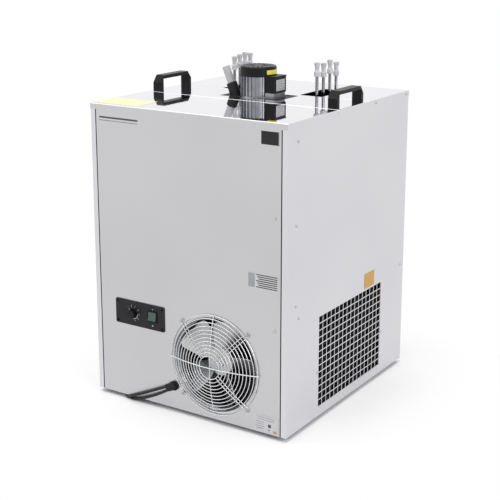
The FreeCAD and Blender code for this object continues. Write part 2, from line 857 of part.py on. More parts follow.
def coil_corners(half_x, half_y, middle_y, first, count, high, pitch):
    """Corners of a rectangular coil that runs left side, front, right side, back, sinking steadily."""
    ring = [
        Vector(-half_x, middle_y - half_y, 0), Vector(half_x, middle_y - half_y, 0),
        Vector(half_x, middle_y + half_y, 0), Vector(-half_x, middle_y + half_y, 0),
    ]
    return [
        ring[(first + step) % 4] + Vector(0, 0, high - (step + 1) * pitch / 4)
        for step in range(count)
    ]


def beer_line(index):
    """One tube: inlet riser, coil, outlet riser."""
    grip = Vector(0, 0, value("line_grip - fitting_height"))
    high = value(f"foot_height + coil_top - {index} * coil_pitch")
    half_x = value("coil_half_width")
    pitch = value("turn_pitch")
    corners = coil_corners(
        half_x, value("coil_half_depth"), value(tank_y), 0, 4 * round(value("line_turns")) - 2, high, pitch)
    start = line_end(-1, index) + grip
    end = line_end(1, index) + grip
    low = corners[-1].z - pitch / 4
    points = [start, Vector(start.x, start.y, high), Vector(-half_x, start.y, high)] + corners
    points += [Vector(half_x, end.y, low), Vector(end.x, end.y, low), end]
    radii = [value("riser_bend")] * 2 + [value("coil_bend")] * len(corners) + [value("riser_bend")] * 2
    return tube_along(bent_path(points, radii), value("line_radius"), value("line_wall"))


feature("beer_lines", Part.makeCompound([beer_line(index) for index in range(line_count)]))


def fitting_shape():
    """A push-in coupling: collar that grips the tube, waist, and a flared cup with the hose bore."""
    height = value("fitting_height")
    collar = value("fitting_collar")
    cup_low = height - value("fitting_cup_height")
    edge = value("fitting_edge")
    profile = Part.makePolygon([
        Vector(0, 0, 0),
        Vector(collar - edge, 0, 0),
        Vector(collar, 0, edge),
        Vector(collar, 0, value("fitting_collar_height") - edge),
        Vector(value("fitting_neck"), 0, value("fitting_collar_height + fitting_edge")),
        Vector(value("fitting_neck"), 0, cup_low),
        Vector(value("fitting_cup") - edge, 0, height - value("fitting_collar_height") / 2),
        Vector(value("fitting_cup"), 0, height - edge),
        Vector(value("fitting_cup") - edge / 2, 0, height),
        Vector(0, 0, height),
        Vector(0, 0, 0),
    ])
    body = Part.Face(profile).revolve(Vector(0, 0, 0), upward, 360)
    body = body.cut(Part.makeCylinder(value("line_radius + hole_gap / 4"), value("line_grip")))
    mouth = height - value("fitting_bore_depth")
    return body.cut(Part.makeCylinder(value("fitting_bore"), height, Vector(0, 0, mouth)))


group("line_fittings", fitting_shape(), [
    (line_end(side, index) - Vector(0, 0, value("fitting_height")), upward)
    for side in (-1, 1) for index in range(line_count)
])

# Evaporator: a copper coil near the tank walls that grows the ice bank
add_sizes("evaporator", {
    "evaporator_radius": 5,
    "evaporator_wall_gap": 4,
    "evaporator_turns": 5,
    "evaporator_pitch": 54,
    "evaporator_top": 610,
    "evaporator_bend": 60,
    "tail_across": -120,
    "tail_pitch": 60,
    "tail_bend": 14,
    "tail_inset": 11.5,
    "tail_lift": 2,
    "tail_low": 215,
    "rail_front": -130,
    "rail_width": 24,
    "rail_wall": 1.5,
    "rail_top": 622,
})
coil_reach = "(coil_half_width + line_radius)"
evaporator_x = "(tank_width / 2 - tank_wall - evaporator_wall_gap - evaporator_radius)"
evaporator_y = "(tank_depth / 2 - tank_wall - evaporator_wall_gap - evaporator_radius)"
duct_y = f"({inner_back} - duct_depth / 2)"


def evaporator_shape():
    """A rectangular coil whose two tails rise over the rim and drop down the duct behind the tank."""
    half_y = value(evaporator_y)
    middle = value(tank_y)
    high = value("foot_height + evaporator_top")
    pitch = value("evaporator_pitch")
    corners = coil_corners(
        value(evaporator_x), half_y, middle, 3, 4 * round(value("evaporator_turns")), high, pitch)
    over = value(f"{rim_z} + evaporator_radius + tail_lift")
    behind = value(duct_y)
    foot = value("foot_height + tail_low")
    first = value("tail_across")
    second = value("tail_across + tail_pitch")
    inside = middle + half_y - value("tail_inset")
    points = [
        Vector(first, behind, foot), Vector(first, behind, over),
        Vector(first, middle + half_y, over), Vector(first, middle + half_y, high),
    ] + corners + [
        Vector(second, inside, corners[-1].z), Vector(second, inside, over),
        Vector(second, behind, over), Vector(second, behind, foot),
    ]
    tail = value("tail_bend")
    radii = [tail] * 3 + [value("evaporator_bend")] * len(corners) + [tail] * 3
    return rod_along(bent_path(points, radii), value("evaporator_radius"))


feature("evaporator_coil", evaporator_shape())


def rails_shape():
    """Two channel uprights on the tank floor, each held between a beer coil and the evaporator."""
    near = value(coil_reach)
    far = value(f"{evaporator_x} - evaporator_radius")
    wall = value("rail_wall")
    low_y = value("rail_front")
    high_y = value("rail_front + rail_width")
    foot = value(f"{tank_low} + tank_wall")
    plan = Part.makePolygon([
        Vector(near, low_y, foot), Vector(far, low_y, foot), Vector(far, low_y + wall, foot),
        Vector(near + wall, low_y + wall, foot), Vector(near + wall, high_y - wall, foot),
        Vector(far, high_y - wall, foot), Vector(far, high_y, foot), Vector(near, high_y, foot),
        Vector(near, low_y, foot),
    ])
    rail = Part.Face(plan).extrude(Vector(0, 0, value("foot_height + rail_top") - foot))
    return Part.makeCompound([rail, rail.mirror(Vector(0, 0, 0), Vector(1, 0, 0))])


feature("coil_rails", rails_shape())

# Agitator pump: a motor on the bridge drives an impeller near the tank floor and lifts cold water
# into the outlet pipe beside the motor
add_sizes("pump motor", {
    "pump_across": 5,
    "pump_back": 8,
    "plate_wall": 3,
    "plate_margin": 7,
    "shaft_radius": 5,
    "running_gap": 0.05,
    "motor_radius": 41.5,
    "motor_height": 53,
    "fin_height": 4,
    "fin_width": 2.4,
    "fin_count": 26,
    "shield_height": 4,
    "motor_bore": 7,
    "bearing_radius": 11,
    "bearing_height": 7,
    "cover_radius": 46,
    "cover_height": 25,
    "cover_wall": 1.5,
    "cover_chamfer": 3,
    "slot_inner": 13,
    "slot_outer": 39,
    "slot_width": 3.4,
    "slot_count": 18,
    "motor_fan_radius": 36,
    "motor_fan_hub": 9,
    "motor_fan_height": 10,
    "motor_fan_blade": 1.8,
    "motor_fan_count": 7,
    "motor_fan_lift": 6,
    "shaft_over": 18,
    "box_near": 30,
    "box_far": 65,
    "box_front": -27,
    "box_back": 26,
    "box_low": 14,
    "box_height": 39,
    "box_lid": 3,
    "box_lid_lip": 1,
    "box_corner": 3,
    "block_far": 62,
    "block_front": -27,
    "block_back": 26,
    "block_height": 14,
    "block_corner": 2,
})
pump_parts = dict(x="pump_across", y="pump_back", z=under_lid)
fin_tip = "(motor_radius + fin_height)"

plate = new_body("pump_plate")
pad(plate, outline(plate, "XY_Plane", rectangle(
    "cutout_left - plate_margin", "cutout_front - plate_margin",
    "cutout_right + plate_margin", "cutout_back + plate_margin",
), under_lid, "Plate"), "plate_wall", reverse=True)

motor = turned("pump_motor", [
    ("bearing_radius", "0"), (fin_tip, "0"), (fin_tip, "shield_height"), ("motor_radius", "shield_height"),
    ("motor_radius", "motor_height"), ("bearing_radius", "motor_height"),
    ("bearing_radius", "motor_height - bearing_height"), ("motor_bore", "motor_height - bearing_height"),
    ("motor_bore", "bearing_height"), ("bearing_radius", "bearing_height"),
])
fin = pad(motor, outline(motor, "XY_Plane", rectangle(
    "motor_radius - fin_width", "0 - fin_width / 2", fin_tip, "fin_width / 2",
), "shield_height", "Fin"), "motor_height - shield_height")
around(motor, [fin], "fin_count")
place(motor, **pump_parts)

fan_cover = turned("motor_fan_cover", [
    ("cover_radius - cover_wall", "0"), ("cover_radius", "0"), ("cover_radius", "cover_height - cover_chamfer"),
    ("cover_radius - cover_chamfer", "cover_height"), ("0", "cover_height"), ("0", "cover_height - cover_wall"),
    ("cover_radius - cover_chamfer - cover_wall / 2", "cover_height - cover_wall"),
    ("cover_radius - cover_wall", "cover_height - cover_chamfer - cover_wall / 2"),
])
slot = pocket(fan_cover, outline(fan_cover, "XY_Plane", rectangle(
    "slot_inner", "0 - slot_width / 2", "slot_outer", "slot_width / 2",
), "cover_height", "Slot"), "cover_wall + overrun / 10")
around(fan_cover, [slot], "slot_count")
place(fan_cover, x="pump_across", y="pump_back", z=f"{under_lid} + motor_height")

motor_fan = turned("motor_fan", [
    ("shaft_radius", "0"), ("motor_fan_hub", "0"), ("motor_fan_hub", "motor_fan_height"),
    ("shaft_radius", "motor_fan_height"),
])
blade = pad(motor_fan, outline(motor_fan, "XY_Plane", rectangle(
    "motor_fan_hub - motor_fan_blade", "0 - motor_fan_blade / 2", "motor_fan_radius", "motor_fan_blade / 2",
), "0", "Blade"), "motor_fan_height")
around(motor_fan, [blade], "motor_fan_count")
place(motor_fan, x="pump_across", y="pump_back", z=f"{under_lid} + motor_height + motor_fan_lift")

pump_axis = Vector(value("pump_across"), value("pump_back"), 0)


def ring(outer, inner, height):
    """A plain ring that stands on Z = 0."""
    return Part.makeCylinder(outer, height).cut(Part.makeCylinder(inner, height))


ball_bearing = ring(value("bearing_radius"), value("shaft_radius + running_gap"), value("bearing_height"))


def beside_motor(name, corners, low, height, bore):
    """A block beside the motor, its inner side hollowed to the motor's round."""
    body = new_body(name)
    pad(body, outline(body, "XY_Plane", corners, low, "Plan"), height)
    pocket(body, circles(body, "XY_Plane", [("0", "0", bore)], low, "MotorRound"), height, reverse=True)
    return place(body, **pump_parts)


beside_motor("terminal_box", rectangle(
    "box_near", "box_front", "box_far", "box_back"), "box_low", "box_height", f"{fin_tip} + hole_gap")
beside_motor("terminal_box_lid", rectangle(
    "box_near", "box_front - box_lid_lip", "box_far + box_lid_lip", "box_back + box_lid_lip",
), "box_low + box_height", "box_lid", "cover_radius + lid_gap")
beside_motor("motor_block", rectangle(
    "box_near", "block_front", "block_far", "block_back"), "0", "block_height", f"{fin_tip} + hole_gap")

add_sizes("pump", {
    "column_radius": 16,
    "column_wall": 2.5,
    "column_flange": 34,
    "column_flange_height": 4,
    "bush_height": 16,
    "volute_up": 345,
    "volute_radius": 38,
    "volute_height": 36,
    "volute_wall": 5,
    "volute_plate": 4,
    "inlet_radius": 14,
    "port_radius": 12.5,
    "port_reach": 39.5,
    "port_socket": 6,
    "impeller_radius": 29,
    "impeller_hub": 10,
    "impeller_height": 13,
    "impeller_disc": 2,
    "impeller_vane": 2,
    "impeller_count": 6,
    "impeller_lift": 4,
    "plate_bolt_reach": 25,
    "plate_bolt_radius": 2.5,
    "plate_bolt_head": 4.2,
    "plate_bolt_head_height": 3,
    "plate_bolt_grip": 8,
    "outlet_across": -55,
    "outlet_back": -5,
    "outlet_tilt": 23,
    "outlet_rise": 69,
    "outlet_drop": 16,
    "outlet_radius": 9.75,
    "outlet_wall": 2.2,
    "outlet_elbow": 14,
    "outlet_bend": 50,
    "outlet_hole": 13.6,
    "sleeve_low_radius": 14.3,
    "sleeve_high_radius": 13.5,
    "sleeve_height": 32,
})
volute_low = "(foot_height + volute_up)"
volute_top = "(foot_height + volute_up + volute_height)"
plate_under = f"({under_lid} - plate_wall)"
bolt_ring = [
    (f"{across * diagonal_share} * plate_bolt_reach", f"{along * diagonal_share} * plate_bolt_reach")
    for across in (1, -1) for along in (1, -1)
]

plate_holes = [("pump_across", "pump_back", "bearing_radius"), ("outlet_across", "outlet_back", "outlet_hole")]
plate_holes += [
    (f"pump_across + {across}", f"pump_back + {along}", "plate_bolt_radius + hole_gap")
    for across, along in bolt_ring
]
pocket(plate, circles(plate, "XY_Plane", plate_holes, under_lid, "Holes"), "plate_wall + overrun")
motor_holes = [(across, along, "plate_bolt_radius") for across, along in bolt_ring]
pocket(motor, circles(motor, "XY_Plane", motor_holes, "0", "BoltHoles"), "plate_bolt_grip", reverse=True)

column_length = f"({plate_under} - {volute_top} + volute_plate)"
column = turned("pump_column", [
    ("column_radius - column_wall", "0"), ("column_radius", "0"),
    ("column_radius", f"{column_length} - column_flange_height"),
    ("column_flange", f"{column_length} - column_flange_height"), ("column_flange", column_length),
    ("column_radius - column_wall", column_length),
])
flange_holes = [(across, along, "plate_bolt_radius + hole_gap") for across, along in bolt_ring]
pocket(column, circles(column, "XY_Plane", flange_holes, column_length, "BoltHoles"),
       "column_flange_height + overrun / 2")
place(column, x="pump_across", y="pump_back", z=f"{volute_top} - volute_plate")
group("pump_bolts", screw(
    value("plate_bolt_head"), value("plate_bolt_head_height"), value("plate_bolt_radius"),
    value("column_flange_height + plate_wall + plate_bolt_grip"),
), [
    (Vector(value(f"pump_across + {across}"), value(f"pump_back + {along}"),
            value(f"{plate_under} - column_flange_height")), downward)
    for across, along in bolt_ring
])
bearings = [
    ball_bearing.translated(pump_axis + Vector(0, 0, value(height)))
    for height in (under_lid, f"{under_lid} + motor_height - bearing_height")
]
bush = ring(value("column_radius - column_wall"), value("shaft_radius + running_gap"), value("bush_height"))
bearings.append(bush.translated(pump_axis + Vector(0, 0, value(f"{volute_top} - volute_plate"))))
feature("shaft_bearings", Part.makeCompound(bearings))

shaft = keep(doc.addObject("Part::Cylinder", "pump_shaft"), "pump_shaft")
shaft_low = f"({volute_low} + volute_plate + impeller_lift)"
bind(shaft, Radius="shaft_radius", Height=f"{under_lid} + motor_height + shaft_over - {shaft_low}",
     base_x="pump_across", base_y="pump_back", base_z=shaft_low)

impeller = turned("pump_impeller", [
    ("shaft_radius", "0"), ("impeller_radius", "0"), ("impeller_radius", "impeller_disc"),
    ("impeller_hub", "impeller_disc"), ("impeller_hub", "impeller_height"), ("shaft_radius", "impeller_height"),
])
vane = pad(impeller, outline(impeller, "XY_Plane", rectangle(
    "impeller_hub - impeller_vane", "0 - impeller_vane / 2", "impeller_radius", "impeller_vane / 2",
), "0", "Vane"), "impeller_height")
around(impeller, [vane], "impeller_count")
place(impeller, x="pump_across", y="pump_back", z=shaft_low)

# Volute: a flat drum with its inlet below and its port on the left
volute = turned("pump_volute", [
    ("0", "0"), ("volute_radius", "0"), ("volute_radius", "volute_height"), ("0", "volute_height")])
port_up = "volute_height / 2"
pad(volute, circles(volute, "YZ_Plane", [("outlet_back - pump_back", port_up, "port_radius")],
                    "0 - port_reach", "Port"), "port_reach")
hollow = outline(volute, "XZ_Plane", [
    ("0", "0"), ("inlet_radius", "0"), ("inlet_radius", "volute_plate"),
    ("volute_radius - volute_wall", "volute_plate"),
    ("volute_radius - volute_wall", "volute_height - volute_plate"),
    ("column_radius", "volute_height - volute_plate"), ("column_radius", "volute_height"), ("0", "volute_height"),
], name="Chamber")
groove = volute.newObject("PartDesign::Groove", "Groove")
groove.Profile = hollow
groove.ReferenceAxis = (hollow, ["V_Axis"])
groove.Angle = 360
pocket(volute, circles(volute, "YZ_Plane", [
    ("outlet_back - pump_back", port_up, "outlet_radius - outlet_wall")], "0 - port_reach", "PortBore"),
    "port_reach - impeller_hub", reverse=True)
pocket(volute, circles(volute, "YZ_Plane", [
    ("outlet_back - pump_back", port_up, "outlet_radius + running_gap")], "0 - port_reach", "PortSocket"),
    "port_socket", reverse=True)
place(volute, x="pump_across", y="pump_back", z=volute_low)


def outlet_lean():
    """The direction of the outlet pipe above the bend, leaning to the left."""
    angle = math.radians(value("outlet_tilt"))
    return Vector(-math.sin(angle), 0, math.cos(angle))


def outlet_at(height):
    """The point of the leaning pipe's axis at a height over the top of the lid."""
    lean = outlet_lean()
    foot = Vector(value("outlet_across"), value("outlet_back"), value(top))
    return foot + lean * (height / lean.z)


def outlet_shape():
    """The open steel pipe from the volute's port to its mouth above the lid."""
    bend = outlet_at(-value("outlet_drop"))
    port_z = value(f"{volute_low} + {port_up}")
    start = Vector(value("pump_across - port_reach + port_socket"), bend.y, port_z)
    points = [start, Vector(bend.x, bend.y, port_z), bend, outlet_at(value("outlet_rise"))]
    path = bent_path(points, [value("outlet_elbow"), value("outlet_bend")])
    return tube_along(path, value("outlet_radius"), value("outlet_wall"))


def sleeve_shape():
    """A tapered rubber sleeve round the outlet pipe, cut flat where it stands on the pump plate."""
    drop = value("overrun")
    reach = value("sleeve_height + overrun")
    cone = Part.makeCone(value("sleeve_low_radius"), value("sleeve_high_radius"), reach, outlet_at(-drop), outlet_lean())
    bore = Part.makeCylinder(
        value("outlet_radius + running_gap"), 2 * reach, outlet_at(-2 * drop), outlet_lean())
    size = value("cutout_right")
    below = Part.makeBox(
        size, size, size, outlet_at(0) - Vector(size / 2, size / 2, size + value("lid_wall")))
    return cone.cut(bore).cut(below)


feature("outlet_pipe", outlet_shape())
feature("outlet_sleeve", sleeve_shape())

# Condenser behind the side grille: a serpentine tube through upright fins
add_sizes("condenser", {
    "condenser_gap": 6,
    "fin_depth": 40,
    "fin_wall": 0.8,
    "fin_number": 20,
    "fin_low": 26,
    "fin_high": 246,
    "fin_front": -140,
    "fin_back": 150,
    "plate_thickness": 1.5,
    "tube_radius": 4.5,
    "tube_rows": 6,
    "tube_inset": 20,
    "tube_stub": 22,
})
condenser_x = f"({inner_width} - grille_wall - condenser_gap - fin_depth / 2)"
tray_floor = "(foot_height + tray_wall)"
tube_pitch = "((fin_high - fin_low - 2 * tube_inset) / (tube_rows - 1))"


def tube_z(row):
    """Height of one pass of the condenser tube."""
    return value("foot_height + fin_low + tube_inset") + row * value(tube_pitch)


def fin_plate(wall, low):
    """One upright plate across the tube, with a hole for each pass."""
    depth = value("fin_depth")
    high = value("foot_height + fin_high")
    blank = Part.makeBox(depth, wall, high - low, Vector(value(condenser_x) - depth / 2, 0, low))
    radius = value("tube_radius")
    holes = [
        Part.makeCylinder(radius, 3 * wall, Vector(value(condenser_x), -wall, tube_z(row)), Vector(0, 1, 0))
        for row in range(round(value("tube_rows")))
    ]
    return blank.cut(Part.makeCompound(holes))


def fins_shape():
    """The fins between two end plates that stand on the base tray."""
    count = round(value("fin_number"))
    front_y = value("fin_front")
    step = (value("fin_back") - front_y) / (count + 1)
    fin_one = fin_plate(value("fin_wall"), value("foot_height + fin_low"))
    end_plate = fin_plate(value("plate_thickness"), value(tray_floor))
    plates = [fin_one.translated(Vector(0, front_y + (index + 1) * step, 0)) for index in range(count)]
    plates += [end_plate.translated(Vector(0, value(along), 0)) for along in ("fin_front", "fin_back")]
    return Part.makeCompound(plates)


def serpentine_shape():
    """The condenser tube: straight passes joined by half-round bends outside the end plates."""
    middle = value(condenser_x)
    front_y = value("fin_front - tube_stub")
    back_y = value("fin_back + plate_thickness + tube_stub")
    rows = round(value("tube_rows"))
    points = [Vector(middle, back_y, tube_z(0))]
    for row in range(0, rows - 1):
        turn_y = front_y if row % 2 == 0 else back_y
        points += [Vector(middle, turn_y, tube_z(row)), Vector(middle, turn_y, tube_z(row + 1))]
    points.append(Vector(middle, back_y + value("tube_stub"), tube_z(rows - 1)))
    points[0] = Vector(middle, back_y + value("tube_stub"), tube_z(0))
    return rod_along(bent_path(points, value(tube_pitch) / 2), value("tube_radius"))


feature("condenser_fins", fins_shape())
feature("condenser_tube", serpentine_shape())

# Compressor: a welded pot on a foot plate and four rubber grommets
add_sizes("compressor", {
    "pot_across": -115,
    "pot_back": 60,
    "pot_radius": 72,
    "pot_height": 165,
    "pot_seam": 82,
    "pot_seam_height": 6,
    "pot_seam_lip": 3,
    "pot_round": 30,
    "plate_length": 200,
    "plate_depth": 150,
    "foot_plate_wall": 3,
    "grommet_radius": 12,
    "grommet_waist": 8,
    "grommet_height": 16,
    "grommet_inset": 15,
    "line_bore": 4,
    "line_stub": 26,
    "liquid_radius": 3,
})
plate_z = f"({tray_floor} + grommet_height)"
pot_z = f"({plate_z} + foot_plate_wall)"
pot = turned("compressor", [
    ("0", "0"), ("pot_radius", "0"), ("pot_radius", "pot_seam"), ("pot_radius + pot_seam_lip", "pot_seam"),
    ("pot_radius + pot_seam_lip", "pot_seam + pot_seam_height"), ("pot_radius", "pot_seam + pot_seam_height"),
    ("pot_radius", "pot_height"), ("0", "pot_height"),
])
doc.recompute()
turned_pot = pot.Tip
ends = [
    f"Edge{index}" for index, edge in enumerate(turned_pot.Shape.Edges, 1)
    if edge.Closed and (edge.BoundBox.ZMax < value("pot_round") or edge.BoundBox.ZMin > value("pot_height - pot_round"))
]
dome = pot.newObject("PartDesign::Fillet", "Domes")
dome.Base = (turned_pot, ends)
bind(dome, Radius="pot_round")
pad(pot, outline(pot, "XY_Plane", rectangle(
    "0 - plate_length / 2", "0 - plate_depth / 2", "plate_length / 2", "plate_depth / 2",
), "0", "FootPlate"), "foot_plate_wall", reverse=True)
place(pot, x="pot_across", y="pot_back", z=pot_z)

grommet = Part.Face(Part.makePolygon([
    Vector(0, 0, 0), Vector(value("grommet_radius"), 0, 0),
    Vector(value("grommet_radius"), 0, value("grommet_height") / 3),
    Vector(value("grommet_waist"), 0, value("grommet_height") / 2),
    Vector(value("grommet_radius"), 0, value("grommet_height") * 2 / 3),
    Vector(value("grommet_radius"), 0, value("grommet_height")),
    Vector(0, 0, value("grommet_height")), Vector(0, 0, 0),
])).revolve(Vector(0, 0, 0), upward, 360)
group("compressor_grommets", grommet, [
    (Vector(value(f"pot_across + {across} * (plate_length / 2 - grommet_inset)"),
            value(f"pot_back + {along} * (plate_depth / 2 - grommet_inset)"), value(tray_floor)), upward)
    for across in ("1", "(0 - 1)") for along in ("1", "(0 - 1)")
])


def lines_shape():
    """The copper lines: hot gas to the condenser, liquid to the evaporator and suction back to the pot."""
    pot_x = value("pot_across")
    pot_y = value("pot_back")
    reach = value("pot_radius")
    stub = value("line_stub")
    behind = value(duct_y)
    low = value("foot_height + tail_low")
    level = value(f"{pot_z} + pot_seam + pot_height / 4")
    end_y = value("fin_back + plate_thickness + 2 * tube_stub")
    last = round(value("tube_rows")) - 1
    radius = value("line_bore")
    thin = value("liquid_radius")
    tail_x = value("tail_across")
    back_x = value("tail_across + tail_pitch")
    gas = [
        Vector(pot_x + reach, pot_y, level), Vector(pot_x + reach + stub, pot_y, level),
        Vector(pot_x + reach + stub, end_y + stub, level),
        Vector(value(condenser_x), end_y + stub, level),
        Vector(value(condenser_x), end_y + stub, tube_z(last)), Vector(value(condenser_x), end_y, tube_z(last)),
    ]
    liquid = [
        Vector(value(condenser_x), end_y, tube_z(0)), Vector(value(condenser_x), end_y + 2 * stub, tube_z(0)),
        Vector(tail_x, end_y + 2 * stub, tube_z(0)), Vector(tail_x, behind, tube_z(0) + stub),
        Vector(tail_x, behind, low),
    ]
    suction = [
        Vector(back_x, behind, low), Vector(back_x, behind, level + stub / 2), Vector(pot_x, behind, level),
        Vector(pot_x, pot_y + reach, level),
    ]
    bend = 3 * radius
    return Part.makeCompound([
        rod_along(bent_path(gas, bend), radius),
        rod_along(bent_path(liquid, bend), thin),
        rod_along(bent_path(suction, bend), radius),
    ])


feature("refrigerant_lines", lines_shape())

# Fan, drawn about its own axis with Z pointing out of the front and Z = 0 on the panel's outer face
add_sizes("fan", {
    "throat_radius": 112,
    "throat_depth": 30,
    "throat_bell": 10,
    "shroud_wall": 1.2,
    "shroud_radius": 124,
    "shroud_ear": 7.5,
    "hub_radius": 34,
    "hub_nose": 24,
    "hub_front": -12,
    "hub_back": -40,
    "blade_radius": 108,
    "blade_wall": 1.6,
    "blade_pitch": 26,
    "blade_camber": 7,
    "blade_root": 34,
    "blade_tip": 98,
    "blade_corner": 24,
    "blade_count": 5,
    "blade_turn": -30,
    "fan_shaft_radius": 4,
    "fan_shaft_length": 58,
    "fan_motor_radius": 38,
    "fan_motor_front": -48,
    "fan_motor_length": 58,
    "fan_motor_bore": 30,
    "arm_width": 16,
    "arm_wall": 2.5,
    "arm_reach": 141,
    "arm_foot": 14,
    "arm_disc": 30,
})
fan_parts = dict(x="fan_across", y=front_face, z=fan_z)
facing_front = Rotation(Vector(1, 0, 0), 90)
shroud = turned("fan_shroud", [
    ("fan_hole_radius", "0 - panel_wall"), ("shroud_radius", "0 - panel_wall"),
    ("shroud_radius", "0 - panel_wall - shroud_wall"),
    ("fan_hole_radius + shroud_wall", "0 - panel_wall - shroud_wall"),
    ("throat_radius + shroud_wall", "0 - panel_wall - throat_bell"),
    ("throat_radius + shroud_wall", "0 - throat_depth"), ("throat_radius", "0 - throat_depth"),
    ("throat_radius", "0 - panel_wall - throat_bell + shroud_wall / 2"),
])
bolt_places = [
    (f"{across} * guard_bolt_reach", f"{up} * guard_bolt_reach", "guard_bolt_radius + hole_gap")
    for across, up in guard_bolts
]
ears = [(across, up, "shroud_ear") for across, up, _ in bolt_places]
pad(shroud, circles(shroud, "XY_Plane", ears, "0 - panel_wall", "Ears"), "shroud_wall", reverse=True)
pocket(shroud, circles(shroud, "XY_Plane", bolt_places, "0", "BoltHoles"), "throat_depth")
place(shroud, turn=facing_front, **fan_parts)


def fan_shape():
    """A pressed aluminium fan: cambered blades with rounded corners on a turned hub."""
    hub = value("hub_radius")
    tip = value("blade_radius")
    wall = value("blade_wall")
    low = value("hub_back")
    high = value("hub_front")
    chord = value("blade_tip")
    root = value("blade_root") / 2
    camber = value("blade_camber")
    inner = hub - value("hub_nose") / 4

    def section(reach):
        """The blade's closed section, an arc of even thickness."""
        half = chord / 2
        outer_arc = Part.Arc(Vector(0, -half, 0), Vector(0, 0, camber), Vector(0, half, 0)).toShape()
        inner_arc = Part.Arc(
            Vector(0, half, -wall), Vector(0, 0, camber - wall), Vector(0, -half, -wall)).toShape()
        ends = [
            Part.makeLine(Vector(0, half, 0), Vector(0, half, -wall)),
            Part.makeLine(Vector(0, -half, -wall), Vector(0, -half, 0)),
        ]
        wire = Part.Wire([outer_arc, ends[0], inner_arc, ends[1]])
        wire.translate(Vector(reach, 0, 0))
        return wire

    sheet_shape = Part.Face(section(inner)).extrude(Vector(tip, 0, 0))
    sheet_shape.rotate(Vector(0, 0, 0), Vector(1, 0, 0), value("blade_pitch"))
    sheet_shape.translate(Vector(0, 0, (low + high) / 2 - camber / 2))
    corner = value("blade_corner")
    half = chord / 2 * math.cos(math.radians(value("blade_pitch")))
    plan = Part.Wire([
        Part.makeLine(Vector(inner, -root, 0), Vector(tip * 0.62, -half, 0)),
        Part.Arc(
            Vector(tip * 0.62, -half, 0), Vector(tip - corner * 0.45, -half + corner * 0.45, 0),
            Vector(tip, -half + corner * 1.6, 0)).toShape(),
        Part.Arc(
            Vector(tip, -half + corner * 1.6, 0), Vector(tip + corner / 8, 0, 0),
            Vector(tip, half - corner * 1.6, 0)).toShape(),
        Part.Arc(
            Vector(tip, half - corner * 1.6, 0), Vector(tip - corner * 0.45, half - corner * 0.45, 0),
            Vector(tip * 0.62, half, 0)).toShape(),
        Part.makeLine(Vector(tip * 0.62, half, 0), Vector(inner, root, 0)),
        Part.makeLine(Vector(inner, root, 0), Vector(inner, -root, 0)),
    ])
    depth = 4 * (high - low)
    below = Vector(0, 0, (low + high) / 2 - depth / 2)
    prism = Part.Face(plan).extrude(Vector(0, 0, depth))
    prism.translate(below)
    drum = Part.makeCylinder(tip, depth, below)
    blade_shape = sheet_shape.common(prism).common(drum)
    body = Part.makeCylinder(hub, high - low, Vector(0, 0, low))
    nose = [edge for edge in body.Edges if edge.Closed and edge.BoundBox.ZMin > (low + high) / 2]
    body = body.makeFillet((high - low) / 3, nose)
    blades = []
    count = round(value("blade_count"))
    for index in range(count):
        copy = blade_shape.copy()
        copy.rotate(Vector(0, 0, 0), upward, value("blade_turn") + 360 * index / count)
        blades.append(copy)
    body = body.multiFuse(blades)
    radius = value("fan_shaft_radius")
    return body.cut(Part.makeCylinder(radius, high - low, Vector(0, 0, low - value("hub_nose") / 6)))


def set_before_front(thing):
    """Stand a piece that was drawn about the fan's axis in front of the panel."""
    thing.Placement = Placement(
        Vector(value("fan_across"), value(front_face), value(fan_z)), facing_front)
    return thing


set_before_front(feature("fan_impeller", fan_shape()))
fan_shaft = keep(doc.addObject("Part::Cylinder", "fan_shaft"), "fan_shaft")
shaft_front = "(hub_front - hub_nose / 6)"
bind(fan_shaft, Radius="fan_shaft_radius", Height="fan_shaft_length")
place(fan_shaft, x="fan_across", y=f"{front_face} - {shaft_front} + fan_shaft_length", z=fan_z, turn=facing_front)

fan_motor = turned("fan_motor", [
    ("fan_shaft_radius + running_gap", "fan_motor_front - fan_motor_bore"),
    ("fan_shaft_radius + running_gap", "fan_motor_front"), ("fan_motor_radius * 0.9", "fan_motor_front"),
    ("fan_motor_radius", "fan_motor_front - fan_motor_radius / 8"),
    ("fan_motor_radius", "fan_motor_front - fan_motor_length"),
    ("0", "fan_motor_front - fan_motor_length"), ("0", "fan_motor_front - fan_motor_bore"),
])
place(fan_motor, turn=facing_front, **fan_parts)

bracket = new_body("fan_motor_bracket")
arm_level = "fan_motor_front - fan_motor_length"
pad(bracket, circles(bracket, "XY_Plane", [("0", "0", "arm_disc")], arm_level, "Disc"), "arm_wall", reverse=True)
arm = pad(bracket, outline(bracket, "XY_Plane", rectangle(
    "0", "0 - arm_width / 2", "arm_reach", "arm_width / 2"), arm_level, "Arm"), "arm_wall", reverse=True)
leg = pad(bracket, outline(bracket, "XY_Plane", rectangle(
    "arm_reach - arm_wall", "0 - arm_width / 2", "arm_reach", "arm_width / 2",
), "0 - panel_wall - shroud_wall", "Leg"), f"0 - panel_wall - shroud_wall - ({arm_level})", reverse=True)
foot = pad(bracket, outline(bracket, "XY_Plane", rectangle(
    "arm_reach - arm_foot", "0 - arm_width / 2", "arm_reach", "arm_width / 2",
), "0 - panel_wall - shroud_wall", "Foot"), "arm_wall", reverse=True)
hole = pocket(bracket, circles(bracket, "XY_Plane", [
    ("guard_bolt_reach", "0", "guard_bolt_radius + hole_gap")], "0 - panel_wall - shroud_wall", "FootHole"),
    "arm_wall + overrun / 10")
around(bracket, [arm, leg, foot, hole], "4")
place(bracket, turn=Rotation(Vector(1, 0, 0), 90) * Rotation(Vector(0, 0, 1), 45), **fan_parts)

